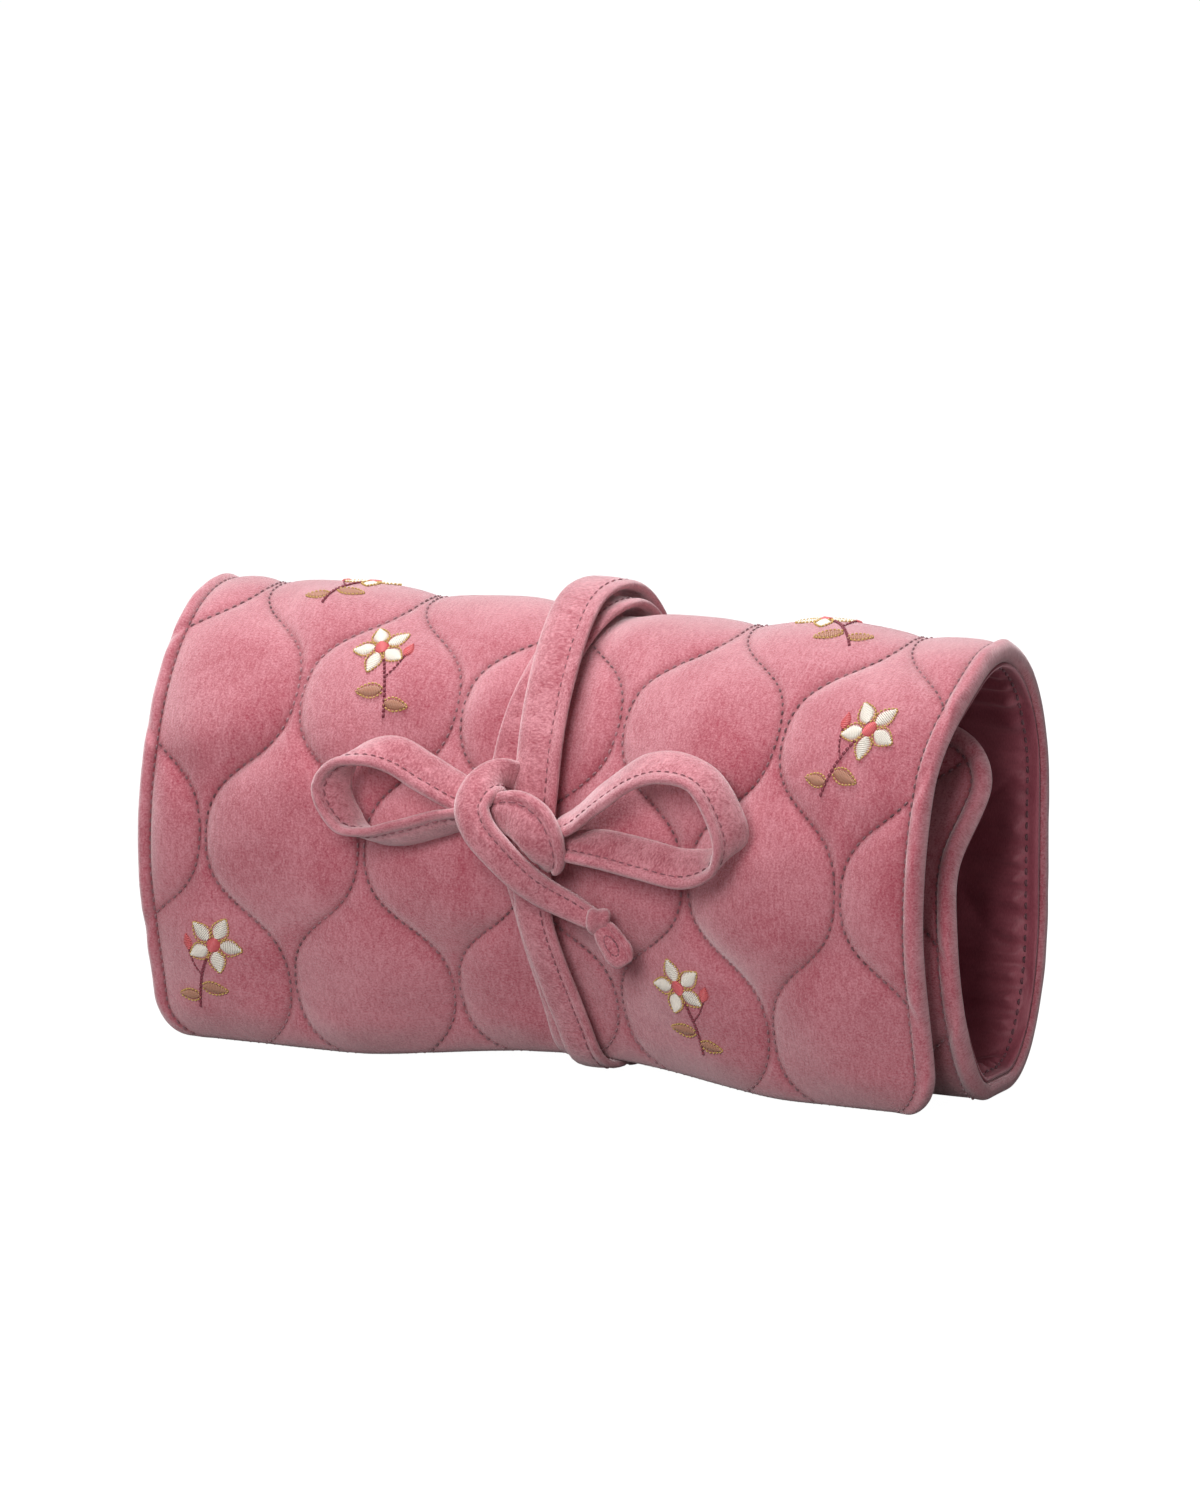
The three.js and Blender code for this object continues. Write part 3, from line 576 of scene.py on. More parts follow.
def sprig(flip):
    """Stitches of one sprig on its own flat millimetres: starts, ends, colour, radius and rise."""
    cream, gold, coral = (0.8, 0.74, 0.66), (0.55, 0.36, 0.1), (0.6, 0.11, 0.12)
    maroon, tan = (0.2, 0.025, 0.045), (0.42, 0.2, 0.13)
    sewn = []

    def lay(starts, ends, colour, radius, rise):
        """Adds stitches of one colour, radius and rise."""
        count = len(starts)
        colours = np.tile(colour, (count, 1))
        sewn.append((starts, ends, colours, np.full(count, radius), np.full(count, rise)))

    def trace(line, colour, pitch, length):
        """Adds dashes along a line."""
        (x0, y0), (x1, y1) = walk(*np.array(line).T, pitch, length)
        lay(np.stack([x0, y0], -1), np.stack([x1, y1], -1), colour, 0.2, 0.28)

    bend = np.linspace(0, 1, 60)
    stem = np.stack([-3.5 * bend**2, 2 - 16 * bend], -1)
    side_stem = np.stack([-0.6 + 6.2 * bend, -4 + 1.5 * bend + 3 * bend**2], -1)
    for line in (stem, stem + (0.35, 0), side_stem):
        trace(line, maroon, 1.25, 1.15)
    for tan_leaf in (((-1.4, -7.4), 2.75, 7.6, 3.4), ((-2.2, -10.4), -0.55, 6.6, 3.0)):
        starts, ends, outline = leaf(*tan_leaf)
        lay(starts, ends, tan, 0.25, 0.26)
        trace(outline, gold, 1.0, 0.85)
    starts, ends, _ = leaf((5.2, 0.2), 0.9, 4.4, 3.0)
    lay(starts, ends, coral, 0.25, 0.26)
    for k in range(5):
        angle = 2 * np.pi * k / 5 + 0.31
        heart = np.array([0, 5.5]) + 1.5 * np.array([np.cos(angle), np.sin(angle)])
        starts, ends, outline = leaf(heart, angle, 6.2, 4.2)
        lay(starts, ends, cream, 0.23, 0.26)
        trace(outline, gold, 0.95, 0.8)
    level = np.arange(-1.7, 1.75, 0.38)
    reach = np.sqrt(2.0**2 - level**2)
    lay(np.stack([-reach, 5.5 + level], -1), np.stack([reach, 5.5 + level], -1), coral, 0.26, 0.45)
    starts, ends, colour, radius, rise = (np.concatenate(kind) for kind in zip(*sewn))
    return starts * (flip, 1), ends * (flip, 1), colour, radius, rise


satin_stitch = Finish("embroidery_thread", {"Roughness": 0.42, "Specular IOR Level": 0.45})
thread_colour = satin_stitch.add("ShaderNodeAttribute", attribute_name="thread")
satin_stitch.link(thread_colour.outputs["Color"], "Base Color")
satin_stitch.bump(satin_stitch.noise(satin_stitch.solid(), 3000), 0.25, 0.0001)
sprig_places = [
    (-46.25, 103, 0.5, 1), (-90.75, 24, -0.5, -1), (42.75, 24, 0.4, 1), (87.25, 93, -0.7, -1),
    (65, 133, 0.9, 1), (-68.5, 134, -0.4, -1),
    (-46.25, 172, 2.6, 1), (42.75, 172, -2.5, -1), (-90.75, 210, 2.9, 1), (65, 210, 2.4, -1),
    (-1.75, 248, 2.7, 1), (-68.5, 345, 0.3, 1), (65, 345, -0.4, -1),
]
for part, (start, end, *_) in panel_pieces.items():
    sewn = []
    for x, s, turn, flip in sprig_places:
        if start <= s < end:
            starts, ends, *rest = sprig(flip)
            spin = np.array([(np.cos(turn), np.sin(turn)), (-np.sin(turn), np.cos(turn))])
            sewn.append((starts @ spin + (x, s), ends @ spin + (x, s), *rest))
    starts, ends, colour, radius, rise = (np.concatenate(kind) for kind in zip(*sewn))
    places = [on_roll(*at.T, velvet_height(*at.T)[0] + 0.1) for at in (starts, ends)]
    middle = (starts + ends).T / 2
    outward = on_roll(*middle, 1.0) - on_roll(*middle, 0.0)
    threads = *places, outward, radius, rise, satin_stitch.material, colour
    embroidered = stitches(f"embroidery_{part}", *threads)
    bend_with_panel(embroidered, part)

# The lining: mauve satin on the inside of the whole panel, turned in at the edges, held by the same
# seams and gathered into small folds along both side edges.


def satin(name, dark, light):
    """Satin: a fine weave in the bump, soft bands of light and shade, and a low sheen."""
    sheen = {"Sheen Weight": 0.35, "Sheen Tint": (0.95, 0.65, 0.7, 1)}
    finish = Finish(name, {"Roughness": 0.5, "Specular IOR Level": 0.35, **sheen})
    cloth = finish.cloth()
    weave = finish.noise(finish.mapped(cloth, (420, 90, 1)), 1, 3)
    sway = finish.noise(cloth, 7, 4, 0.55)
    bands = finish.weigh((weave, 0.4), (sway, 0.6))
    finish.link(finish.ramp(bands, dark, light, 0.35, 0.68), "Base Color")
    finish.bump(weave, 0.25, 0.0002)
    return finish.material


mauve_satin = satin("mauve_satin", (0.24, 0.042, 0.066), (0.42, 0.11, 0.145))
lining_level, lining_seat, turned_level, lining_inset = -5.45, -4.25, -4.3, 0.9


def lining_height(x, s):
    """Height of the lining's face: its level, dimpled along the quilting lines and the topstitch,
    with uneven folds every 6.4 mm that fade inwards from the side edges as exp(-distance / 9),
    and nearly smooth where the pocket and the ring bar are sewn on."""
    nearest = np.full(np.broadcast(x, s).shape, 1e3)
    for index in quilt_lines:
        nearest = np.minimum(nearest, np.abs(x - quilt_line(index, s)))
    edge = edge_distance(x, s)
    dimple = 0.75 * np.exp(-nearest / 2.2) + 0.6 * np.exp(-np.abs(edge - topstitch) / 1.3)
    fold = 0.5 + 0.5 * np.sin(2 * np.pi * s / 6.4 + 2.6 * soft_noise(x * 0.3, s, 11, 8))
    fold = fold**1.6 * (0.55 + 0.45 * soft_noise(x * 0.2, s, 14, 7))
    inwards = np.maximum(half_panel - topstitch - np.abs(x), 0)
    drawn = np.exp(-inwards / 9) * smoothstep((edge - 3.6) / 3)
    gather = 0.2 * soft_noise(x, s, 12, 9) - 3.4 * fold * drawn
    loose = np.maximum(smoothstep((np.abs(s - 203) - 16) / 8), smoothstep((x - 91) / 5))
    return lining_level + np.minimum(dimple, 0.8) + gather * (edge > 1.5) * (0.15 + 0.85 * loose)


lining_rows = np.concatenate(
    [
        panel_hem + hem_rows[1:-1:2] + lining_inset,
        spaced(panel_stops, 1.3),
        panel_end - lining_inset - hem_rows[-2:0:-2],
    ]
)[:, None]
lining_rim = np.array([0, 0.3, 0.8, 1.5, 2.3, 3.2])
far_columns = 2 * half_panel - lining_rim[::-1]
lining_columns = np.concatenate([lining_rim, np.linspace(4.2, 215.8, 165), far_columns])
lining_x = (lining_columns[None, :] / half_panel - 1) * (half_length(lining_rows) - 1)
lining_edge = np.clip(edge_distance(lining_x, lining_rows) - lining_inset, 0, 1)
lining_turn = 0.5 - 0.5 * np.sqrt(1 - (1 - lining_edge) ** 2)
lining_out = lining_height(lining_x, lining_rows)
face_out = lining_out + (turned_level - lining_out) * lining_turn
back_out = lining_seat + (lining_out - lining_seat) * lining_turn
lining_face, lining_back = (on_roll(lining_x, lining_rows, out) for out in (face_out, back_out))
lining_face[:, [0, -1]] = lining_back[:, [0, -1]]
lining_flat = np.stack(np.broadcast_arrays(lining_x, lining_rows), -1)
lining_normals = grid_normals(lining_back), -grid_normals(lining_face)
for part, (start, end, _, _, _, _, nodes) in panel_pieces.items():
    rows = rows_between(lining_rows, start, end)
    satin_sheet = closed_sheet(
        f"lining_{part}",
        lining_back[rows],
        lining_face[rows],
        lining_flat[rows],
        mauve_satin,
        (start > panel_hem, end < panel_end),
        [side[rows] for side in lining_normals],
    )
    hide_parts(*[f"{node}_lining" for node in nodes])
    bend_with_panel(satin_sheet, part)
dark_thread = thread_finish("dark_thread", (0.07, 0.014, 0.022), (0.2, 0.05, 0.075), 700)
lining_dashes = [walk(*edge_line(topstitch), 2.9, 2.1)]
panel_stitches("lining_stitch", lining_dashes, lining_height, -1.0, 0.34, 0.34, dark_thread)

# The tie: a sewn velvet strap with a topstitch near one edge. It goes round the roll in two
# strands, the upper one lying over the lower one and standing off it at the crest, and is tied in
# front.
strap_thread = thread_finish("strap_thread", (0.15, 0.03, 0.045), (0.34, 0.1, 0.13), 200)
tie_turn = bezier((20, 2.2), (13.5, 1.8), (9.3, 2.4), (8.064, 10))
tie_start = run_length(straight_front) - run_length(tie_turn) - run_length(flap_front)
tie_course = course(tie_start, tie_turn, flap_front, *round_the_roll, straight((37, 0), (9, 0)))
strap_velvet = velvet("strap_velvet", (0.34, 0.04, 0.068), (0.67, 0.26, 0.302), 9, (60, 75), False)


def strap_section():
    """Section of a strap one wide and one thick, as (across, up): a flattened oval, |cos|^0.7 by
    |sin|^0.75, with a groove on both faces where the topstitch runs, at a quarter of the width."""
    turn = np.linspace(0, 2 * np.pi, 36, endpoint=False)
    across = 0.5 * np.sign(np.cos(turn)) * np.abs(np.cos(turn)) ** 0.7
    up = 0.5 * np.sign(np.sin(turn)) * np.abs(np.sin(turn)) ** 0.75
    return across, up * (1 - 0.35 * np.exp(-(((across - 0.25) / 0.07) ** 2)))


def ring_normals(rings):
    """Unit normals of a tube of rings: the cross product of its slopes round and along."""
    round_slope = np.roll(rings, -1, axis=1) - np.roll(rings, 1, axis=1)
    normal = unit(np.cross(round_slope, np.gradient(rings, axis=0)))
    outward = rings - rings.mean(axis=1, keepdims=True)
    return normal * np.sign((normal * outward).sum())


def tube(name, rings, lengths, material, normals=None):
    """Closed tube through rings of points, its ends filled. Cloth places are (length, way round),
    and the way round goes there and back, so that the cloth meets itself without a seam."""
    rows, count = rings.shape[:2]
    number = np.arange(rows * count).reshape(rows, count)
    wrapped = np.concatenate([number, number[:, :1]], 1)
    faces = cells(wrapped)
    middle = rings.mean(axis=1, keepdims=True)
    quads = rings.reshape(-1, 3)[faces]
    facing = np.cross(quads[:, 1] - quads[:, 0], quads[:, 3] - quads[:, 0])
    outward = quads.mean(axis=1) - np.repeat(middle[:-1, 0], count, axis=0)
    order = 1 if (facing * outward).sum() > 0 else -1
    ends = [number[0, ::-1].tolist(), number[-1].tolist()]
    faces = faces[:, ::order].tolist() + [end[::order] for end in ends]
    girth = 13 - np.abs(np.linspace(-13, 13, count, endpoint=False))
    uv = np.stack(np.broadcast_arrays(lengths[:, None], girth[None, :]), -1).reshape(-1, 2) / 100
    if normals is not None:
        normals = normals.reshape(-1, 3)
    return new_piece(name, rings.reshape(-1, 3), faces, material, uv, normals)


def strand_seat(s, seat, arch):
    """Height of a strand's underside: its seat, less where it is pressed under the hem, plus an
    arch over the crest, exp(-((s - 138)/19)^2)."""
    pressed = 0.55 + 0.45 * smoothstep((s - tie_start) / 26)
    return seat * pressed + arch * np.exp(-(((s - 138) / 19) ** 2))


def closing(distance):
    """Share of its thickness that a strap keeps at a distance d from its end:
    sqrt(1 - (1 - d/3)^2), and a little at the end itself."""
    return np.sqrt(np.clip(1 - (1 - np.clip(distance / 3, 0, 1)) ** 2, 0.02, 1))


def strand(route, seat, arch, lean, s):
    """Rings of a strand of the tie: the strap's section carried along its route, rocking a little
    from side to side, leaning above the bow, crushed unevenly and drawn in at both ends."""
    x, width = strand_at(route, s)
    across, up = strap_section()
    close = closing(np.minimum(s - s[0], s[-1] - s))
    rock = 0.06 * np.sin(s / 23 + seat) - lean * np.exp(-(((s - 92) / 16) ** 2))
    thickness = 2.9 + 0.35 * soft_noise(s * 0 + seat * 7, s, 11, 12)
    across = across * (width * (0.55 + 0.45 * close))[:, None]
    crushed = 0.35 * soft_noise(across * 2, s[:, None], 8, 13) * np.maximum(up, 0)
    out = strand_seat(s, seat, arch)[:, None] + 1.35 + up * (thickness * close)[:, None]
    out = out + rock[:, None] * across + crushed
    return on_roll(x[:, None] + across, s[:, None], out, tie_course)


tie_end, strap_dash = 291, 1.7
stitch_radius, stitch_rise = 0.18, 0.2
tie_parts = {
    "front": (tie_start, front_cut, ["front"]),
    "top": (front_cut, back_cut, ["top_front", "top_back"]),
    "back": (back_cut, tie_end, ["back"]),
}
tie_rows = spaced([tie_start, front_cut, back_cut, tie_end], 1.4)
tie_strands = (("under", under_route, 0.5, 1.8, 0.3), ("over", over_route, 3.8, 3, 0))
for layer, route, seat, arch, lean in tie_strands:
    rings = strand(route, seat, arch, lean, tie_rows)
    normals = ring_normals(rings)
    for part, (start, end, nodes) in tie_parts.items():
        rows = rows_between(tie_rows, start, end)
        made = rings[rows], tie_rows[rows], strap_velvet, normals[rows]
        strap = tube(f"tie_{layer}_strap_{part}", *made)
        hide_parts(*[f"tie_{layer}_{node}" for node in nodes])
        s = spaced([start + 1, end], 0.5)
        x, width = strand_at(route, s)
        bend_with_panel(strap, part)
        dashes = walk(x + width / 4, s, stitch_pitch, strap_dash)
        on_top, lifted = (
            [on_roll(x, s, strand_seat(s, seat, arch) + rise, tie_course) for x, s in dashes]
            for rise in (2.35, 3.35)
        )
        outward = lifted[0] - on_top[0]
        threads = *on_top, outward, stitch_radius, stitch_rise, strap_thread
        sewn = stitches(f"tie_{layer}_stitch_{part}", *threads)
        bend_with_panel(sewn, part)

# The bow: two loops, a wrap round the knot, a turn over the knot's left side that goes on as the
# tail, and a small knotted tip. It is the same strap, and sits on the upper strand at the front.


def points_at(lengths, along, points):
    """Points of a line at given lengths along it."""
    return np.stack([np.interp(lengths, along, column) for column in points.T], -1)


def smooth_path(points, count):
    """Even points along a curve through given ones, the length along it and the index along the
    given ones of each: cubic Hermite stretches with centripetal slopes."""
    points = np.array(points, float)
    knots = np.r_[0, np.cumsum(np.sqrt(np.linalg.norm(np.diff(points, axis=0), axis=1)))]
    slopes = np.gradient(points, knots, axis=0)
    fine = np.linspace(0, knots[-1], 1200)
    k = np.clip(np.searchsorted(knots, fine) - 1, 0, len(knots) - 2)
    span = np.diff(knots)[k][:, None]
    t = (fine - knots[k])[:, None] / span
    curve = (2 * t**3 - 3 * t**2 + 1) * points[k] + (t**3 - 2 * t**2 + t) * span * slopes[k]
    curve += (3 * t**2 - 2 * t**3) * points[k + 1] + (t**3 - t**2) * span * slopes[k + 1]
    along = np.r_[0, np.cumsum(np.linalg.norm(np.diff(curve, axis=0), axis=1))]
    even = np.linspace(0, along[-1], count)
    index = np.interp(fine, knots, np.arange(len(knots)))
    return points_at(even, along, curve), even, np.interp(even, along, index)


def on_bow(points):
    """Points of the bow's own frame turned 0.12 rad about X and moved to its place on the front."""
    x, y, z = np.moveaxis(np.asarray(points, float), -1, 0)
    c, s = np.cos(-0.12), np.sin(-0.12)
    return np.stack([x + 1.5, c * y - s * z - 36.82, s * y + c * z + 72.23], -1)


def ribbon(name, points, wide, width, thickness, count, rounded=False):
    """Strap carried along a smooth path: the section's width lies along wide, made square to the
    path, and its thickness along the cross product of both. Wide and width have a value for each
    given point. Returns piece, path, directions of width and thickness, lengths and widths."""
    path, along, at = smooth_path(points, count)
    tangent = unit(np.gradient(path, along, axis=0))
    index = np.arange(len(points))
    if wide is None:
        wide = np.cross(tangent, (0, 1, 0))
    else:
        wide = points_at(at, index, np.array(wide, float))
    wide = unit(wide - (wide * tangent).sum(axis=1, keepdims=True) * tangent)
    thick = np.cross(tangent, wide)
    width = np.interp(at, index, np.broadcast_to(width, len(points)))
    across, up = strap_section()
    close = closing(along) * closing(along[-1] - along) if rounded else np.ones(count)
    crushed = 1 + 0.1 * soft_noise(along * 0 + len(name), along, 9, 21)
    across = across * (width * (0.5 + 0.5 * close))[:, None]
    up = up * (thickness * close * crushed)[:, None]
    up = up * (1 + 0.1 * soft_noise(across * 2, along[:, None], 8, 22))
    rings = path[:, None] + wide[:, None] * across[..., None] + thick[:, None] * up[..., None]
    return tube(name, on_bow(rings), along, strap_velvet), path, wide, thick, along, width


def ribbon_stitches(name, made, thickness, side):
    """Topstitch on one face of a ribbon, a quarter of its width from the edge."""
    _, path, wide, thick, along, width = made
    at = np.arange(1.5, along[-1] - 2.5, stitch_pitch)
    line = path + wide * width[:, None] / 4 + side * thick * thickness * 0.33
    places = [on_bow(points_at(a, along, line)) for a in (at, at + strap_dash)]
    outward = on_bow(points_at(at, along, thick) * side) - on_bow(np.zeros(3))
    sewn = stitches(name, *places, outward, stitch_radius, stitch_rise, strap_thread)
    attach(sewn, "front")


left_loop = [
    (-9, -3, -1.5), (-16.4, -4.6, 0.6), (-25.8, -6.8, 5.2), (-33.9, -7.8, 9.1),
    (-40.6, -8.2, 9.3), (-47.3, -8.4, 6.3), (-51, -8, -0.6), (-46.3, -7, -8.8),
    (-39.5, -6.3, -11.3), (-32.6, -6.2, -10.4), (-21.7, -5.2, -6.9), (-13.6, -4, -4.6),
    (-9, -3, -4),
]
left_wide = [
    (0, -0.8, -0.6), (0, -0.7, -0.7), (0, -0.62, -0.8), (0, -0.65, -0.75),
    (-0.1, -0.8, -0.5), (-0.35, -0.85, -0.25), (-0.6, -0.8, 0), (-0.45, -0.85, -0.05),
    (-0.1, -0.9, 0.25), (0, -0.85, 0.5), (0, -0.8, 0.5), (0, -0.9, 0.3),
    (0, -1, 0.1),
]
right_loop = [
    (9, -1.5, -5.5), (13.5, -2.6, -3.4), (22.3, -5.4, 3.3), (33.5, -7.4, 10.8),
    (41.9, -8.2, 12.3), (50.4, -8.5, 10), (56.6, -8.3, 1.9), (58.3, -7.6, -4.2),
    (54.5, -6.6, -9.5), (46.1, -5.8, -12.3), (33.5, -5.4, -10.9), (22.3, -4.2, -9.6),
    (14, -2.6, -9.6), (9, -1.5, -9.6),
]
right_wide = [
    (0, -0.9, -0.4), (0, -0.8, -0.6), (0, -0.75, -0.65), (0, -0.72, -0.7),
    (-0.1, -0.78, -0.62), (-0.35, -0.85, -0.35), (-0.5, -0.85, -0.15), (-0.45, -0.85, -0.3),
    (-0.2, -0.7, -0.65), (0, -0.52, -0.85), (0, -0.5, -0.85), (0, -0.6, -0.8),
    (0, -0.8, -0.6), (0, -0.9, -0.4),
]
loop_thickness, knot_thickness, tail_thickness = 3.3, 4.6, 3.8
for side, points, wide in (("left", left_loop, left_wide), ("right", right_loop, right_wide)):
    made = ribbon(f"bow_{side}", points, wide, 11, loop_thickness, 110)
    loop, path, _, _, along, _ = made
    route = on_bow(path) / 1000
    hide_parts(f"bow_loop_{side}")
    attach(loop, "front")
    ribbon_stitches(f"bow_{side}_stitch_in", made, loop_thickness, 1)
    ribbon_stitches(f"bow_{side}_stitch_out", made, loop_thickness, -1)

wrap_line = [
    (-8, -5.6, -5.5), (-5.2, -7.2, -3.2), (0.6, -8.6, -2.6), (5.4, -9.2, -4.9),
    (8.2, -8.6, -9.2), (8.8, -6.2, -13), (8, -3.2, -14.6),
]
wrap_width = [8, 10, 12, 12.6, 11.6, 9.5, 7]
made = ribbon("bow_knot_wrap", wrap_line, None, wrap_width, knot_thickness, 60)
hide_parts("bow_knot")
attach(made[0], "front")
ribbon_stitches("bow_knot_stitch_out", made, knot_thickness, 1)
ribbon_stitches("bow_knot_stitch_in", made, knot_thickness, -1)

tail_line = [
    (0.5, 6.6, 4), (-4.4, 3.6, 4.8), (-7.6, -2.6, 5.4), (-9.6, -8.4, 2.8),
    (-10.2, -11.4, -1.9), (-7.6, -12.5, -6.8), (-2.4, -12.3, -12), (2.9, -9.6, -17.4),
    (7.5, -5, -21.6), (13.2, -1.4, -24.8), (18.5, 0.4, -27.5),
]
tail_width = [7.5, 8.6, 9.6, 9.8, 9.6, 9.2, 8.8, 8.4, 7.8, 7, 5.6]
made = ribbon("bow_tail_strap", tail_line, None, tail_width, tail_thickness, 90)
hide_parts("bow_turn", "bow_tail")
route = on_bow(made[1]) / 1000
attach(made[0], "front")
ribbon_stitches("bow_tail_stitch_out", made, tail_thickness, 1)
ribbon_stitches("bow_tail_stitch_in", made, tail_thickness, -1)


def pebble(name, centre, axes):
    """Soft knot: an ellipsoid on three axes whose radius swells and dips along a slanting wave."""
    polar = np.linspace(0.06, np.pi - 0.06, 22)[:, None]
    turn = np.linspace(0, 2 * np.pi, 28, endpoint=False)[None, :]
    radius = 1 + 0.2 * np.sin(2 * turn + 3.2 * np.cos(polar)) * np.sin(polar)
    belt = radius * np.sin(polar)
    parts = belt * np.cos(turn), belt * np.sin(turn), radius * np.cos(polar)
    points = np.array(centre) + np.stack(parts, -1) @ np.array(axes)
    return tube(name, on_bow(points), 8 * polar[:, 0], strap_velvet)


tip_axes = [(1.9, -0.5, 2.8), (0, 2.6, 0.2), (2.4, 0.5, -1.8)]
tip_knot = pebble("bow_tip_knot", (20.2, 0, -27.6), tip_axes)
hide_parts("bow_tail_tip")
tip_line = [(20.4, 0.2, -28.2), (23, 0.5, -31.4), (25.8, 0.9, -35), (28, 1.2, -38)]
made = ribbon("bow_tip_end", tip_line, None, [5, 7, 7.8, 6.6], 3, 34, True)
for piece in (tip_knot, made[0]):
    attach(piece, "front")
turn = np.linspace(0, 2 * np.pi, 13)
eye = np.outer(2.9 * np.cos(turn), (0.6, 0.08, -0.8)) + np.outer(1.4 * np.sin(turn), (0.8, 0, 0.6))
eye = on_bow(eye + (24.6, -0.6, -33.5))
outward = np.tile((0.0, -1.0, 0.1), (12, 1))
eye_stitch = stitches("bow_tip_stitch", eye[:-1], eye[1:], outward, 0.2, 0.12, strap_thread)
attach(eye_stitch, "front")

# The zip pocket on the lining of the back: a satin panel sewn down on three sides, a woven tape
# either side of a nylon coil, brass end stops, and a brass slider with a swinging pull.


def patch(name, x_from, x_to, s_from, s_to, out_face, out_back, material, slot):
    """Sewn-on sheet on the inside of the back: its face at height out_face(u, v) above the roll and
    its back flat, for shares u of its length and v of its height."""
    u, v = np.linspace(0, 1, 90)[None, :], np.linspace(0, 1, 40)[:, None]
    x, s = x_from + u * (x_to - x_from) + 0 * v, s_from + v * (s_to - s_from) + 0 * u
    face, back = on_roll(x, s, out_face(u, v)), on_roll(x, s, out_back + 0 * u + 0 * v)
    for grid in (face, back):
        rim = (face + back) / 2
        grid[[0, -1]], grid[:, [0, -1]] = rim[[0, -1]], rim[:, [0, -1]]
    piece = closed_sheet(name, back, face, np.stack([x, s], -1), material)
    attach(piece, "back")
    return piece


fine_radius, fine_rise = 0.17, 0.18


def inside_stitches(name, x, s, out, material, slot):
    """Row of dashes along a line on the inside of the back, standing inwards."""
    line = np.asarray(x, float), np.asarray(s, float)
    starts, ends = walk(*line, stitch_pitch, strap_dash)
    places = [on_roll(*at, out) for at in (starts, ends)]
    inward = on_roll(*starts, -1.0) - on_roll(*starts, 0.0)
    sewn = stitches(name, *places, inward, fine_radius, fine_rise, material)
    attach(sewn, "back")


def pocket_face(u, v):
    """Slack of the pocket's panel: a low bulge u(1-u)v(1-v) and small folds along its top."""
    bulge = 16 * u * (1 - u) * v * (1 - v)
    fold = 0.35 * np.sin(26 * u + 3 * v) * (1 - v) * np.minimum(1, 12 * u * (1 - u))
    return -6.5 - 1.3 * bulge - fold * bulge


pocket_left, pocket_right = -100, -30
sewn_left, sewn_right = pocket_left + 1.4, pocket_right - 1.4
pocket_place = pocket_left, pocket_right, 198.7, 216.8
pocket = patch("zip_pocket", *pocket_place, pocket_face, -5.7, mauve_satin, "lining")
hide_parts("pocket_panel")
seam_x = [sewn_left, sewn_left, sewn_right, sewn_right]
seam_s = [200, 215.4, 215.4, 200]
inside_stitches("zip_pocket_stitch", seam_x, seam_s, -6.75, dark_thread, "lining")


def woven(name, dark, light):
    """Woven tape: one slanting wave texture moves the colour and lifts the threads."""
    finish = Finish(name, {"Roughness": 0.75})
    slant = finish.mapped(finish.cloth(), turn=0.8)
    ribs = finish.add("ShaderNodeTexWave", {"Vector": slant, "Scale": 55, "Distortion": 0.6})
    ribs = ribs.outputs["Fac"]
    finish.link(finish.ramp(ribs, dark, light), "Base Color")
    finish.bump(ribs, 0.5, 0.0002)
    return finish.material


def tape_face(u, v):
    """Flat tape: one height all over."""
    return -6.25 + 0 * u * v


rose_tape = woven("rose_tape", (0.17, 0.06, 0.085), (0.3, 0.12, 0.15))
for side, s_from, s_to in (("upper", 189.8, 193.8), ("lower", 194.6, 198.6)):
    tape_place = pocket_left, pocket_right, s_from, s_to
    tape = patch(f"zip_tape_{side}_web", *tape_place, tape_face, -5.65, rose_tape, "zip_tape")
    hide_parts(f"zip_tape_{side}")
    far = s_from + 0.9 if side == "upper" else s_to - 0.9
    seam = (sewn_left, sewn_right), (far, far)
    inside_stitches(f"zip_tape_{side}_stitch", *seam, -6.35, dark_thread, "zip_tape")


def wire(name, path, radius, material, count=8):
    """Round wire along a path: rings square to it, on a frame of cross products with a direction
    close to the Z axis."""
    tangent = unit(np.gradient(path, axis=0))
    side = unit(np.cross(tangent, (0.05, 0.02, 1.0)))
    lift = np.cross(side, tangent)
    turn = np.linspace(0, 2 * np.pi, count, endpoint=False)[None, :, None]
    rings = path[:, None] + radius * (np.cos(turn) * side[:, None] + np.sin(turn) * lift[:, None])
    along = np.r_[0, np.cumsum(np.linalg.norm(np.diff(path, axis=0), axis=1))]
    return tube(name, rings, along, material, ring_normals(rings))


def plain_finish(name, dark, light, metallic, roughness, scale):
    """Hard finish: soft noise moves the colour a little."""
    finish = Finish(name, {"Metallic": metallic, "Roughness": roughness})
    worn = finish.noise(finish.solid(), scale, 4)
    finish.link(finish.ramp(worn, dark, light, 0.3, 0.7), "Base Color")
    return finish.material


rose_nylon = plain_finish("rose_nylon", (0.26, 0.1, 0.13), (0.36, 0.15, 0.18), 0, 0.35, 300)
pale_brass = plain_finish("pale_brass", (0.7, 0.5, 0.26), (0.82, 0.62, 0.36), 1, 0.22, 500)
coil_pitch, coil_s = 1.05, 194.2
coil_x = np.linspace(-97.6, -32.4, 760)
coil_turn = 2 * np.pi * coil_x / coil_pitch
coil = on_roll(coil_x, coil_s + 0.62 * np.cos(coil_turn), -7.35 + 0.6 * np.sin(coil_turn))
zip_coil = wire("zip_coil_turns", coil, 0.27, rose_nylon, 6)
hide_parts("zip_coil")
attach(zip_coil, "back")


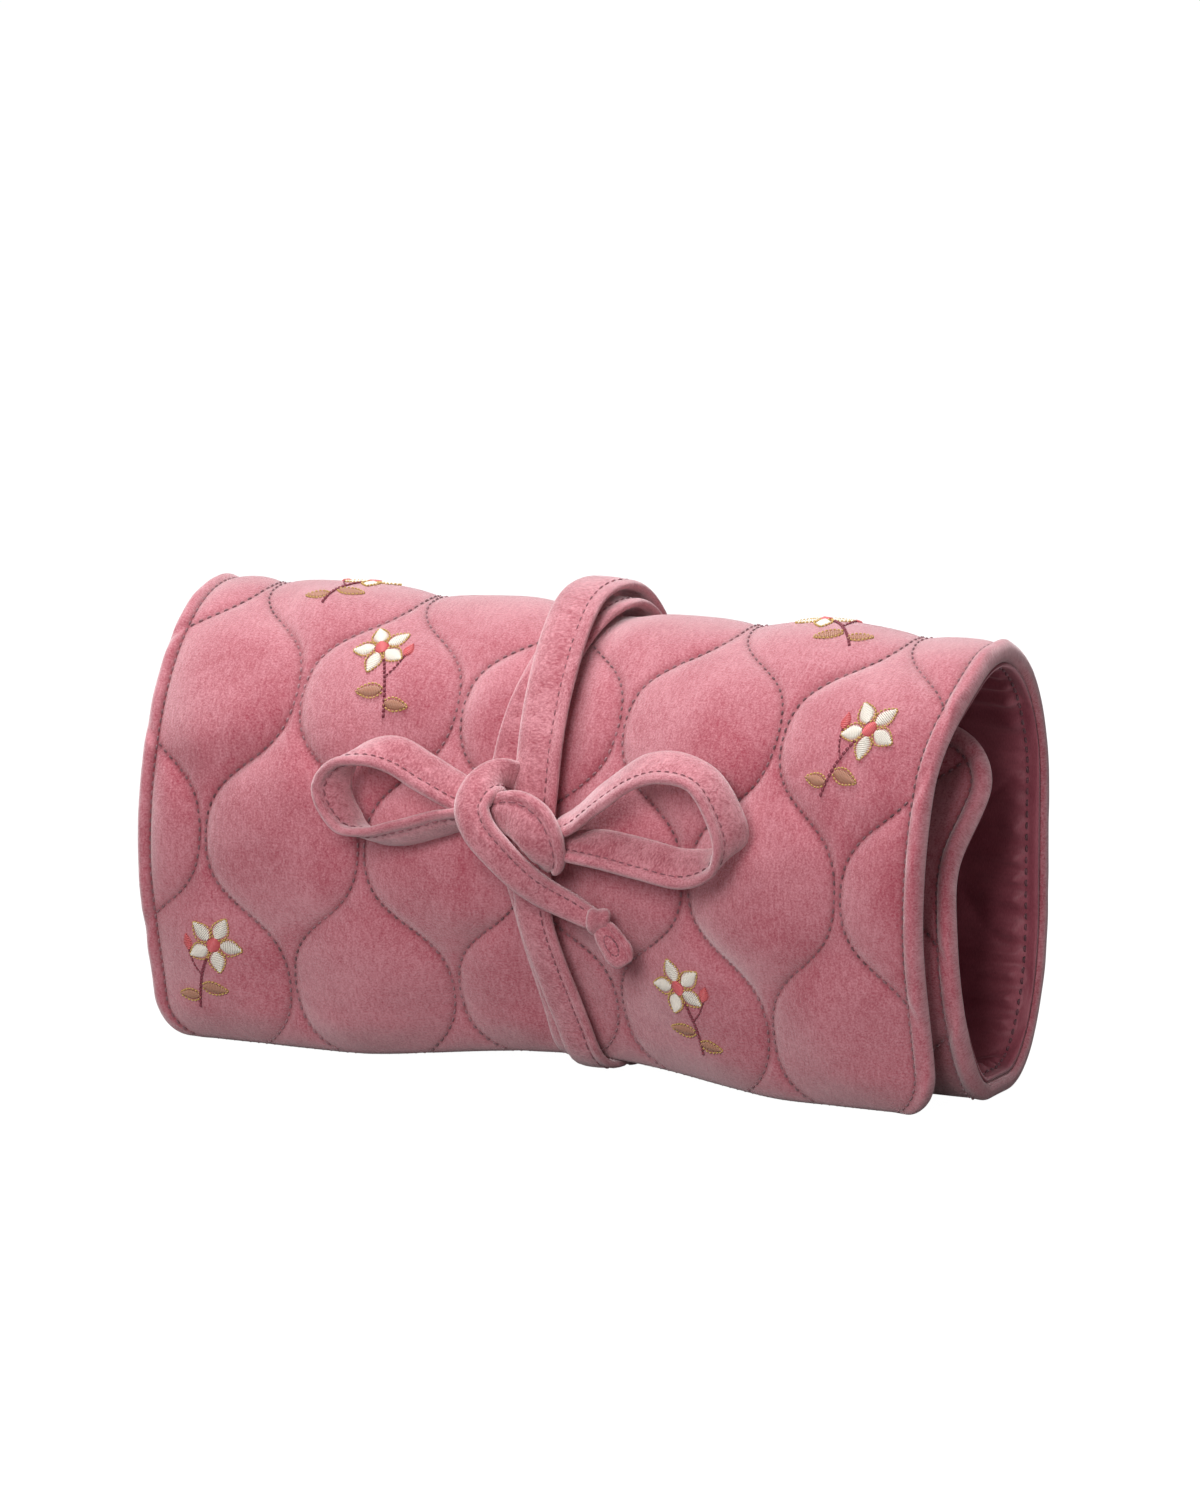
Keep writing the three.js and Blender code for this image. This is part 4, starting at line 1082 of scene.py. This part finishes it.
def plate(name, outline, y_front, y_back):
    """Flat brass piece standing in the XZ plane: its outline between two Y, with rounded edges."""
    rounding = 0.35
    edge = [(0, 1), (0.3, 0.3), (1, 0)]
    levels = [(y_back - depth * rounding, inset) for depth, inset in edge]
    levels += [(y_front + depth * rounding, inset) for depth, inset in edge[::-1]]
    middle = outline.mean(axis=0)
    reach = np.linalg.norm(outline - middle, axis=1, keepdims=True)
    rings = []
    for y, inset in levels:
        drawn = middle + (outline - middle) * (1 - inset * rounding / reach)
        rings.append(np.stack([drawn[:, 0], np.full(len(drawn), y), drawn[:, 1]], -1))
    return tube(name, np.array(rings), np.arange(6.0), pale_brass)


def rounded(width, height, power, taper=0.0):
    """Outline |cos|^p by |sin|^p of a width and a height, narrowing towards one end by taper."""
    turn = np.linspace(0, 2 * np.pi, 48, endpoint=False)
    x = np.sign(np.cos(turn)) * np.abs(np.cos(turn)) ** power
    z = np.sign(np.sin(turn)) * np.abs(np.sin(turn)) ** power
    return np.stack([width / 2 * x * (1 - taper * z), height / 2 * z], -1)


def node_box(node):
    """Lowest and highest corner, middle and size of a CAD node's box."""
    low, high = (1000 * np.array(corner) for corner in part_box(node))
    return low, high, (low + high) / 2, high - low


for side in ("left", "right"):
    low, high, middle, _ = node_box(f"zip_stop_{side}")
    clip = rounded(2.1, 2.6, 0.45) + middle[[0, 2]]
    stop = plate(f"zip_stop_{side}_clip", clip, low[1] - 0.1, high[1])
    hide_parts(f"zip_stop_{side}")
    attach(stop, "back")
low, high, middle, _ = node_box("zip_slider")
shield = rounded(9, 7, 0.55, 0.12)[:, ::-1] * (9 / 7, 7 / 9) + middle[[0, 2]]
slider_back = plate("zip_slider_body", shield, middle[1] - 0.2, high[1])
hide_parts("zip_slider")
arch = np.linspace(0, np.pi, 24)
bridge = middle + np.stack([3 * np.cos(arch), -0.2 - 0.75 * np.sin(arch) ** 0.6, 0 * arch], -1)
wire_radius = 0.42
slider_bridge = wire("zip_slider_bridge", bridge, wire_radius, pale_brass)
for piece in (slider_back, slider_bridge):
    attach(piece, "zip_slider")
low, high, middle, _ = node_box("zip_pull")
tongue = rounded(5, 11.5, 0.5, -0.16) + (middle[0], low[2] + 5.8)
pull_plate = plate("zip_pull_plate", tongue, low[1], high[1])
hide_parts("zip_pull")
turn = np.linspace(0, 2 * np.pi, 40)
ring_x, ring_z = middle[0] + 1.9 * np.cos(turn), high[2] - 2.2 + 1.9 * np.sin(turn)
ring_line = np.stack([ring_x, 0 * turn + middle[1], ring_z], -1)
pull_ring = wire("zip_pull_ring", ring_line, wire_radius, pale_brass)
for piece in (pull_plate, pull_ring):
    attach(piece, "zip_pull")

# The ring bar on the lining of the back: a padded velvet rod on a sewn tab at one end, and a velvet
# tab with a brass press stud at the other.


def velvet_tab(name, node, free_end, body):
    """Folded strap of velvet in a node's place: rings of a flattened oval along X, running 4 mm
    into the rod at one end and rounded like a tongue, by sqrt(1 - u^2.5), at its free end."""
    _, _, middle, size = node_box(node)
    inside = middle[0] - free_end * (size[0] / 2 + 4)
    x = np.linspace(inside, middle[0] + free_end * size[0] / 2, 40)
    tongue = np.clip(1 - (x - x[-1]) * -free_end / (0.55 * size[0]), 0, 1)
    close = np.sqrt(np.clip(1 - tongue**2.5, 0.02, 1))
    across, up = strap_section()
    z = middle[2] + across[None, :] * (size[2] * close)[:, None]
    y = middle[1] + up[None, :] * (max(size[1], 1.6) * (0.35 + 0.65 * close))[:, None]
    rings = np.stack(np.broadcast_arrays(x[:, None], y, z), -1)
    piece = tube(name, rings, np.abs(x - inside), strap_velvet, ring_normals(rings))
    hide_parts(node)
    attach(piece, body)


low, high, middle, size = node_box("ring_bar")
share = np.linspace(0, 1, 70)
turn = np.linspace(0, 2 * np.pi, 40, endpoint=False)
swell = np.sqrt(np.clip(1 - np.abs(2 * share - 1) ** 7, 0.04, 1)) * (1 + 0.03 * np.sin(9 * share))
pucker = 1 + 0.06 * np.sin(11 * turn)[None, :] * (np.abs(2 * share - 1) ** 6)[:, None]
radius = (size[2] / 2 * swell)[:, None] * pucker
bar_x = low[0] + share * size[0]
bar_y, bar_z = middle[1] + radius * np.cos(turn), middle[2] + radius * np.sin(turn)
rings = np.stack(np.broadcast_arrays(bar_x[:, None], bar_y, bar_z), -1)
ring_bar = tube("ring_bar_rod", rings, share * size[0], strap_velvet, ring_normals(rings))
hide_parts("ring_bar")
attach(ring_bar, "ring_bar")
seam_turn = 0.6
at = np.arange(low[0] + 2.5, high[0] - 4, stitch_pitch)
inward = np.tile((0.0, -np.sin(seam_turn), -np.cos(seam_turn)), (len(at), 1))
seam = np.stack([at, 0 * at + middle[1], 0 * at + middle[2]], -1) + 0.5 * size[2] * inward
seam_ends = seam, seam + (strap_dash, 0, 0)
bar_seam = stitches("ring_bar_seam", *seam_ends, inward, fine_radius, fine_rise, strap_thread)
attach(bar_seam, "ring_bar")
velvet_tab("ring_bar_sewn_end", "ring_bar_tab", 1, "back")
velvet_tab("ring_bar_stud_end", "ring_bar_stud_tab", -1, "ring_bar")


def turned(name, node, profile, body):
    """Turned brass piece about Y in a node's place: its profile holds shares of the radius and of
    the height."""
    _, high, middle, size = node_box(node)
    turn = np.linspace(0, 2 * np.pi, 48, endpoint=False)
    reach, rise = np.array(profile).T[:, :, None]
    x = middle[0] + reach * size[0] / 2 * np.cos(turn)
    z = middle[2] + reach * size[2] / 2 * np.sin(turn)
    rings = np.stack(np.broadcast_arrays(x, high[1] - rise * size[1], z), -1)
    piece = tube(name, rings, np.arange(float(len(profile))), pale_brass)
    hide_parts(node)
    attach(piece, body)


socket_profile = [
    (0.9, 0), (1, 0.15), (1, 0.45), (0.92, 0.6),
    (0.7, 0.65), (0.62, 1), (0.5, 1), (0.45, 0.7),
]
turned("press_socket", "stud_socket", socket_profile, "back")
stud_profile = [(0.4, 0), (0.55, 0.1), (0.6, 0.35), (0.95, 0.4), (1, 0.6), (0.9, 0.85), (0.6, 1)]
turned("press_stud", "stud_cap", stud_profile, "ring_bar")

# The studio: a pale floor, one broad soft lamp overhead, a weaker one in front of the roll,
# and a long lens at the height of the photograph.
azimuth, elevation = np.radians(26), np.radians(11)
right = np.array([np.cos(azimuth), np.sin(azimuth), 0])
ahead = np.array([np.sin(azimuth), -np.cos(azimuth), 0])
toward = ahead * np.cos(elevation) + (0, 0, np.sin(elevation))
up = np.cross(toward, right)
aim = np.array([0, 0, 0.057]) + 0.0025 * right + 0.0212 * up
camera_distance = 2.4


def stand(name, data, side, up, back, place):
    """Camera or lamp at a place, turned so that it looks against back."""
    held = bpy.data.objects.new(name, data)
    axes = np.eye(4)
    axes[:3] = np.stack([side, up, back, place], -1)
    held.matrix_world = Matrix(axes)
    bpy.context.scene.collection.objects.link(held)
    return held


camera_data = bpy.data.cameras.new("camera")
camera_data.sensor_width, camera_data.lens = 36, 230.2
camera = stand("camera", camera_data, right, up, toward, aim + camera_distance * toward)
bpy.context.scene.camera = camera


def lamp(name, place, target, size, power):
    """Square area lamp at a place, its -Z axis towards the target."""
    data = bpy.data.lights.new(name, "AREA")
    data.size, data.energy = size, power
    back = unit(np.array(place, float) - np.array(target, float))
    side = unit(np.cross((0, 0, 1), back))
    stand(name, data, side, np.cross(back, side), back, place)


lamp("key_lamp", (-0.35, 0.1, 1.6), (0, 0, 0.05), 0.7, 29)
lamp("fill_lamp", (0.2, -1.75, 0.95), (0, 0, 0.05), 0.8, 23)


def clear_view(tree):
    """Socket that is 1 for camera, glossy and transmission rays and 0 for all others."""
    ray = tree.nodes.new("ShaderNodeLightPath")
    total = ray.outputs["Is Camera Ray"]
    for kind in ("Is Glossy Ray", "Is Transmission Ray"):
        both = tree.nodes.new("ShaderNodeMath")
        tree.links.new(total, both.inputs[0])
        tree.links.new(ray.outputs[kind], both.inputs[1])
        total = both.outputs[0]
    return total


paper = Finish("pale_floor", {"Base Color": (0.2, 0.2, 0.2, 1), "Roughness": 0.9})
bright = paper.add("ShaderNodeEmission", {"Strength": 1.42}).outputs[0]
seen = paper.add("ShaderNodeMath", {0: clear_view(paper.tree), 1: 0.7}, operation="MULTIPLY")
shown = {0: seen.outputs[0], 1: paper.shader.outputs[0], 2: bright}
shown = paper.add("ShaderNodeMixShader", shown).outputs[0]
paper.tree.links.new(shown, paper.tree.nodes["Material Output"].inputs["Surface"])
floor_reach = 6000.0
floor_corners = floor_reach * np.array([(-1, -1, 0), (1, -1, 0), (1, 1, 0), (-1, 1, 0)])
floor = new_piece("floor", floor_corners, [[0, 1, 2, 3]], paper.material)

world = bpy.data.worlds.new("studio")
bpy.context.scene.world = world
world.use_nodes = True
sky = world.node_tree
level = sky.nodes.new("ShaderNodeMapRange")
level.inputs["To Min"].default_value = 0.2
level.inputs["To Max"].default_value = 1.0
sky.links.new(clear_view(sky), level.inputs["Value"])
sky.links.new(level.outputs["Result"], sky.nodes["Background"].inputs["Strength"])
sky.nodes["Background"].inputs["Color"].default_value = (1, 1, 1, 1)
bpy.context.scene.view_settings.view_transform = "Standard"
